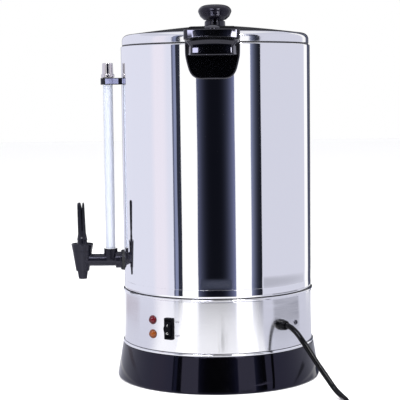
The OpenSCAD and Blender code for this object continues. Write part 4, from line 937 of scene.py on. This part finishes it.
def make_plug():
    """Round plug that lies on the rim of its disc, ribbed on the grip and on the sleeve."""
    matrix = Matrix.Translation(PLUG_FACE) @ Matrix(((1, 0, 0), (0, 0, 1), (0, -1, 0))).to_4x4()
    disc_r, disc_h, grip_len, cord_r = 18.5, 16, 26, CORD_R_MM
    line = [(0, 0), (disc_r - 1.5, 0), (disc_r, 1.5), (disc_r, disc_h - 2), (disc_r - 3, disc_h),
            (disc_r - 7, disc_h + 4)]
    for k in range(5):
        z, r = disc_h + 6.5 + 3.2 * k, disc_r - 7.15 - 0.14 * k
        line += [(r, z), (r - 0.7, z + 0.5), (r - 0.7, z + 1.4), (r, z + 1.9)]
    line += [(disc_r - 8, disc_h + grip_len), (cord_r + 3, disc_h + grip_len + 1)]
    start = disc_h + grip_len + 2.5
    for k in range(4):
        z, r = start + (PLUG_LEN_MM - start) * k / 4, cord_r + 2.75 - 0.5 * k
        line += [(r, z), (r, z + 2.2), (r - 1, z + 2.7), (r - 1, z + 3.4)]
    line += [(cord_r + 1, PLUG_LEN_MM), (0, PLUG_LEN_MM)]
    plug = in_frame(lathe("plug", [p * MM for p in rounded(line, 0.5, 3)], 128), matrix)
    pieces = [place(plug, "urn", "cord", "cord_black", "plug_body")]
    for side in (-1, 1):
        pin = turned("pin_%d" % (side + 2), [(0, -19 * MM), (2.4 * MM, -19 * MM), (2.4 * MM, 0), (0, 0)],
                     [0, 1.4, 0, 0], 6, 48, closed=False)
        in_frame(pin, matrix @ Matrix.Translation((side * 9.5 * MM, 0, 0)))
        pieces.append(place(pin, "urn", "nickel", "pin_nickel", "plug_pins"))
    return pieces


# -------- the lead, in mm

ROUTE = [
    (117.73, 102.35, 92), (122, 108, 89), (128, 115, 82.5), (135, 123, 72), (142.5, 133, 57.5),
    (150, 144, 41), (157.5, 155.5, 25), (165, 165, 12), (175, 172.5, 5.5), (190, 177, 4), (210, 179, 4),
    (232, 178.5, 4), (257, 177, 4), (283, 175.5, 4), (306, 175, 4)]
TAIL = [(357, 114, 12.5), (357, 104, 15.5), (357, 95, 17.9), (357, 89, 18.5), (357, 86, 18.5)]
CORD_EXIT = (115.47, 100.38, 92)
COIL_AT = Vector((306, 124, 0))
COIL_R_MM = 51
LAPS, COIL_STEPS = 4.25, 340
TIE_LAP = 0.5


def step_between(t, start, end):
    s = max(0.0, min(1.0, (t - start) / (end - start)))
    return s * s * (3 - 2 * s)


def coil_heading(lap):
    """Direction from the middle of the coil after so many laps."""
    return heading(radians(90 - 360 * lap))


def coil_point(lap):
    """Where the lead is after so many laps: outer to inner row, up, and back out."""
    thick = 2 * CORD_R_MM
    r = COIL_R_MM
    for start, way in ((0.78, -1), (1.68, -1), (2.70, 1), (3.50, 1)):
        r += way * thick * step_between(lap, start, start + 0.12)
    z = CORD_R_MM + thick * step_between(lap, 2.53, 2.67)
    over = (lap - TIE_LAP) % 1.0
    z += 0.7 * exp(-(min(over, 1 - over) / 0.05) ** 2)
    return COIL_AT + coil_heading(lap) * r + Vector((0, 0, z))


def through(points, steps):
    """A smooth line through the points."""
    pts = [Vector(p) for p in points]
    pts = [2 * pts[0] - pts[1]] + pts + [2 * pts[-1] - pts[-2]]
    line = []
    for a, b, c, d in zip(pts, pts[1:], pts[2:], pts[3:]):
        for k in range(steps):
            t = k / steps
            line.append(0.5 * (2 * b + (c - a) * t + (2 * a - 5 * b + 4 * c - d) * t * t
                               + (3 * b - a - 3 * c + d) * t ** 3))
    return line + [pts[-2]]


def lead_line():
    coil = [coil_point(LAPS * k / COIL_STEPS) for k in range(COIL_STEPS + 1)]
    line = through([CORD_EXIT] + ROUTE, 6)[:-1] + coil + through([coil[-1]] + TAIL, 6)[1:]
    return [Vector((p.x, p.y, max(p.z, CORD_R_MM))) * MM for p in line]


def make_lead(plug_pieces):
    line = lead_line()
    curve = bpy.data.curves.new("lead", "CURVE")
    curve.dimensions = "3D"
    spline = curve.splines.new("POLY")
    spline.points.add(len(line) - 1)
    spline.points.foreach_set("co", [c for p in line for c in (*p, 1.0)])
    spline.use_smooth = True
    curve.bevel_depth = CORD_R_MM * MM
    curve.bevel_resolution = 7
    curve.use_fill_caps = True
    lead = object_of("lead", curve)
    tie = make_tie()
    place(lead, "urn", "cord", "cord_black", "mains_cord", "cord_coil", "cord_tail")


def make_tie():
    """Strap round all the turns of the coil."""
    out = coil_heading(TIE_LAP)
    along = Vector((-out.y, out.x, 0))
    low, high, inner, outer, half, thick = 0.05, 17.4, 30.4, 55.6, 3.5, 0.6
    loop, inside = [rounded([
        (inner + t, low + t), (outer - t, low + t), (outer - t, high - t), (inner + t, high - t)],
        3.6 - t, 8, closed=True) for t in (0, thick)]
    verts = [(COIL_AT + out * p.x + along * w + Vector((0, 0, p.y))) * MM
             for ring, w in ((loop, -half), (loop, half), (inside, half), (inside, -half)) for p in ring]
    return place(solid("coil_tie", verts, band_faces(4, len(loop), along=True), smooth=False),
                 "urn", "tie", "cord_black")


# -------- CAD nodes that keep their own mesh

KEPT = {
    "fastener": ("tie_nuts", "tie_rods", "handle_screws", "tap_stem", "lever_pin", "gauge_bracket_screw",
                 "lamp_nuts", "knob_screw"),
    "inner": ("tank_floor", "heat_shield", "lid_ring"),
    "silicone": ("handle_washers", "seat_cup", "gauge_seals"),
    "sensor": ("boil_thermostat", "lamp_bodies", "gland_nut"),
    "element": ("boil_element", "keep_warm_element"),
    "rubber_and_shade": ("feet", "tap_washers"),
    "cover": ("bottom_cover",), "aluminium": ("heater_plate",), "sensor_brown": ("dry_boil_cutout",),
    "block": ("terminal_block",), "wire": ("wiring",), "nylon": ("tap_lock_nut",),
    "brass": ("switch_terminals",)}


def finish_kept():
    for finish, nodes in KEPT.items():
        for node in nodes:
            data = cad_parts[node].data
            data.materials.clear()
            data.materials.append(MATS[finish])


# -------- floor, cards and lights

FRONT = radians(1.46)
LEAST_FADE = 1e-4
LAVENDER = (0.86, 0.87, 1.0)
COLD = (0.58, 0.65, 1.0)
PALE = (0.97, 0.97, 1.0)
FULL = (-1.8, 2.0)

# Upright cards: name, start and end in degrees from the front, lower and upper edge, radius; brightness,
# tint, fade along and up, and the rise of its brightness.
CARDS = (
    ("left_white", -41.5, -22.1, -1.8, 1, 2.1, 1.1, WHITE, 0.02),
    ("right_white", 21.2, 40.6, -1.8, 1, 2.1, 1.1, WHITE, 0.02),
    ("front_dark", -26, 22.2, -1.8, 3.6, 2.12, 0.009, (0.53, 0.585, 1), 0.01, 0,
     (0.44, 2, -1, 4)),
    ("left_dark", -46.9, -40, *FULL, 2.12, 0.040, COLD, 0.08, 0, (0.02, 1, 0, 2)),
    ("left_pale", -50.6, -46.4, *FULL, 2.125, 0.42, COLD, 0.05),
    ("left_grey", -52.2, -50, *FULL, 2.12, 0.21, COLD, 0.12),
    ("right_dark", 39.4, 53.9, *FULL, 2.12, 0.02, COLD, 0.03, 0, (0.55, -1, 1, 3)),
    ("left_side", -162, -47, *FULL, 2.16, 0.9, LAVENDER, 0.01),
    ("right_side", 52.6, 133, *FULL, 2.16, 0.8, LAVENDER, 0.01),
    ("rim_white", 131, 144.5, *FULL, 2.12, 1.05, WHITE, 0.12),
    ("rim_dark", 144, 158.5, *FULL, 2.13, 0.13, COLD, 0.04),
    ("back_dark", 158, 196, *FULL, 2.14, 0.05, LAVENDER, 0.05),
    ("left_box", -36, -18, 1.8, 2.17, 2.05, 17, LAVENDER, 0.02, 0.1),
    ("right_box", 19, 36, 1.8, 2.17, 2.05, 24, WHITE, 0.02, 0.1),
    ("left_box_high", -36, -6, 2.17, 2.6, 2.05, 19, LAVENDER, 0.16, 0.08),
    ("right_box_high", 25, 38, 2.17, 2.6, 2.05, 24, WHITE, 0.02, 0.08),
    ("left_tint", -84, -56, *FULL, 2.15, 0.95, (0.92, 0.88, 0.98), 0.35),
    ("front_low", -21, 18, -0.6, -0.15, 2.09, 0.085, COLD, 0.1, 0.1),
    ("right_low", 54, 130, -0.6, -0.15, 2.15, 0.56, LAVENDER, 0.04, 0.1))

# Cards on the table: name, start and end, near and far edge and their heights; brightness, tint, both fades.
TABLE_CARDS = (
    ("table", -180, 180, 0.19, 0.94, 0.001, 0.001, 1.12, PALE, 0, 0.04),
    ("table_left", -150, -62, 0.22, 0.93, 0.0015, 0.0015, 0.8, LAVENDER, 0.2, 0.04),
    ("table_white_left", -43.5, -22, 0.22, 0.93, 0.0015, 0.0015, 1.45, PALE, 0.06, 0.04),
    ("table_white_right", 19.5, 38.5, 0.22, 0.93, 0.0015, 0.0015, 1.55, PALE, 0.06, 0.04),
    ("table_right", 40, 150, 0.22, 0.93, 0.0015, 0.0015, 0.73, LAVENDER, 0.1, 0.04),
    ("shade_right", 62, 108, 0.56, 0.93, 0.002, 0.002, 0.27, LAVENDER, 0.1, 0.08),
    ("shade_left", -145, -98, 0.58, 0.93, 0.002, 0.002, 0.55, (0.95, 0.88, 1), 0.2, 0.2),
    ("table_raised", 0, 46, 0.243, 0.4, 0.0178, 0.031, 1.12, PALE, 0.04, 0.03),
    ("table_raised_white", 19.5, 38.5, 0.243, 0.4, 0.0182, 0.0314, 1.55, PALE, 0.06, 0.03))

# Lamps: name, direction in degrees from the front, distance, height, size and power.
LAMPS = (("left_light", -35, 2.4, 1.5, (1.2, 1.4), 38), ("right_light", 32, 2.4, 1.5, (1.2, 1.4), 34),
         ("top_light", 0, 0.3, 2.4, (2.4, 2.4), 60))


def glowing(name, brightness, tint, soft_u, soft_v=0.0, rise=None, one_sided=False):
    """Light that fades out to its edges; rise brightens it to an end: (added, slope, shift, power)."""
    graph = Graph(bpy.data.materials.new(name))
    graph.nodes.clear()
    strength = brightness
    x, y, _ = graph.split(graph.node("TexCoord", output="UV"))
    if rise:
        added, slope, shift, power = rise
        along = graph.maths("ADD", graph.maths("MULTIPLY", x, slope), shift)
        away = graph.maths("MAXIMUM", graph.maths("ABSOLUTE", along, 0.0), LEAST_FADE)
        curve = graph.maths("POWER", away, power)
        strength = graph.maths("ADD", graph.maths("MULTIPLY", curve, added), brightness)
    shown = None
    for axis, soft in ((x, max(soft_u, LEAST_FADE)), (y, max(soft_v, LEAST_FADE))):
        for low, high, at_low, at_high in ((0.0, soft, 0.0, 1.0), (1.0 - soft, 1.0, 1.0, 0.0)):
            fade = graph.ramp(axis, low, high, at_low, at_high, interpolation_type="SMOOTHSTEP")
            shown = graph.maths("MULTIPLY", shown, fade) if shown else fade
    if one_sided:
        back = graph.node("NewGeometry", output="Backfacing")
        shown = graph.maths("SUBTRACT", shown, back, use_clamp=True)
    glow = graph.node("Emission", (*tint, 1.0), strength)
    graph.node("OutputMaterial", graph.node("MixShader", shown, graph.node("BsdfTransparent"), glow))
    return graph.owner


def square(name, half, z):
    corners = [(-half, -half, z), (half, -half, z), (half, half, z), (-half, half, z)]
    return new_object(name, corners, [(0, 1, 2, 3)], smooth=False)


def light_up(obj, uvs, *look, **options):
    """Makes a sheet glow, and lets only reflections see it."""
    layer = obj.data.uv_layers.new(name="UVMap")
    for loop in obj.data.loops:
        layer.data[loop.index].uv = uvs[loop.vertex_index]
    obj.data.materials.append(glowing(obj.name, *look, **options))
    for kind in ("camera", "diffuse", "shadow", "volume_scatter"):
        setattr(obj, "visible_" + kind, False)


def glow_strip(name, start, end, first, second, steps, *look, **options):
    """Glowing strip round the urn between two edges, each a radius and a height."""
    headings = [heading(FRONT + radians(start + (end - start) * k / steps)) for k in range(steps + 1)]
    verts = [out * r + Vector((0, 0, z)) for out in headings for r, z in (first, second)]
    uvs = [(k / steps, side) for k in range(steps + 1) for side in (0, 1)]
    light_up(new_object(name, verts, band_faces(steps + 1, 2, around=False)), uvs, *look, **options)


def make_cards():
    for name, start, end, low, high, radius, *look in CARDS:
        glow_strip(name, start, end, (radius, high), (radius, low), 24, *look)
    light_up(square("top_card", 2.0, 3.4), ((0, 0), (1, 0), (1, 1), (0, 1)), 0.95, PALE, 0.1, 0.1)
    for name, start, end, near, far, near_z, far_z, *look in TABLE_CARDS:
        glow_strip(name, start, end, (near, near_z), (far, far_z), 36, *look, one_sided=True)


def make_floor():
    floor = square("floor", 9.0, 0)
    made = Finish("floor", (0.8, 0.8, 0.8), 0.7, Specular_IOR_Level=0.2)
    grain = made.noise(made.position(), 220.0, 2.0, 0.5)
    made.feed(made.mix_colour(grain, (0.90, 0.90, 0.905), (0.93, 0.93, 0.935)), "Base Color")
    floor.data.materials.append(made.owner)
    floor.visible_glossy = False


def make_world():
    """White to the camera, a little brighter as light, greyer where steel mirrors it."""
    world = bpy.data.worlds.new("studio")
    bpy.context.scene.world = world
    graph = Graph(world)
    graph.nodes.clear()
    seen, lit, mirrored = [graph.node("Background", (*colour, 1.0), strength)
                           for colour, strength in ((WHITE, 1.0), (WHITE, 1.1), ((0.66, 0.67, 0.77), 1.0))]
    rays = graph.node("LightPath").node.outputs
    unseen = graph.node("MixShader", rays["Is Glossy Ray"], lit, mirrored)
    graph.node("OutputWorld", graph.node("MixShader", rays["Is Camera Ray"], unseen, seen))


def make_lights():
    for name, azimuth, distance, height, size, power in LAMPS:
        data = bpy.data.lights.new(name, "AREA")
        data.shape = "RECTANGLE"
        data.size, data.size_y = size
        data.energy = power
        lamp = object_of(name, data)
        lamp.location = heading(FRONT + radians(azimuth)) * distance + Vector((0, 0, height))
        lamp.rotation_euler = (Vector((0, 0, 0.2)) - lamp.location).to_track_quat("-Z", "Y").to_euler()
        lamp.visible_glossy = False


# -------- all of it

def build():
    make_camera()
    make_materials()
    make_lead(make_plug())
    for make in (make_base, make_trim, make_housing, make_seam, make_tank, make_lid, make_knob, make_handles,
                 make_tap, make_spring, make_gauge, make_switch, make_lamps, make_gland, make_earth_screw):
        make()
    printed("word_on", "ON", radians(-23), 100.6 * MM)
    printed("word_off", "OFF", radians(-22.6), 80.6 * MM)
    finish_kept()
    make_cards()
    make_floor()
    make_world()
    make_lights()
    bpy.context.scene.view_settings.view_transform = "Standard"


build()
bpy.context.view_layer.update()
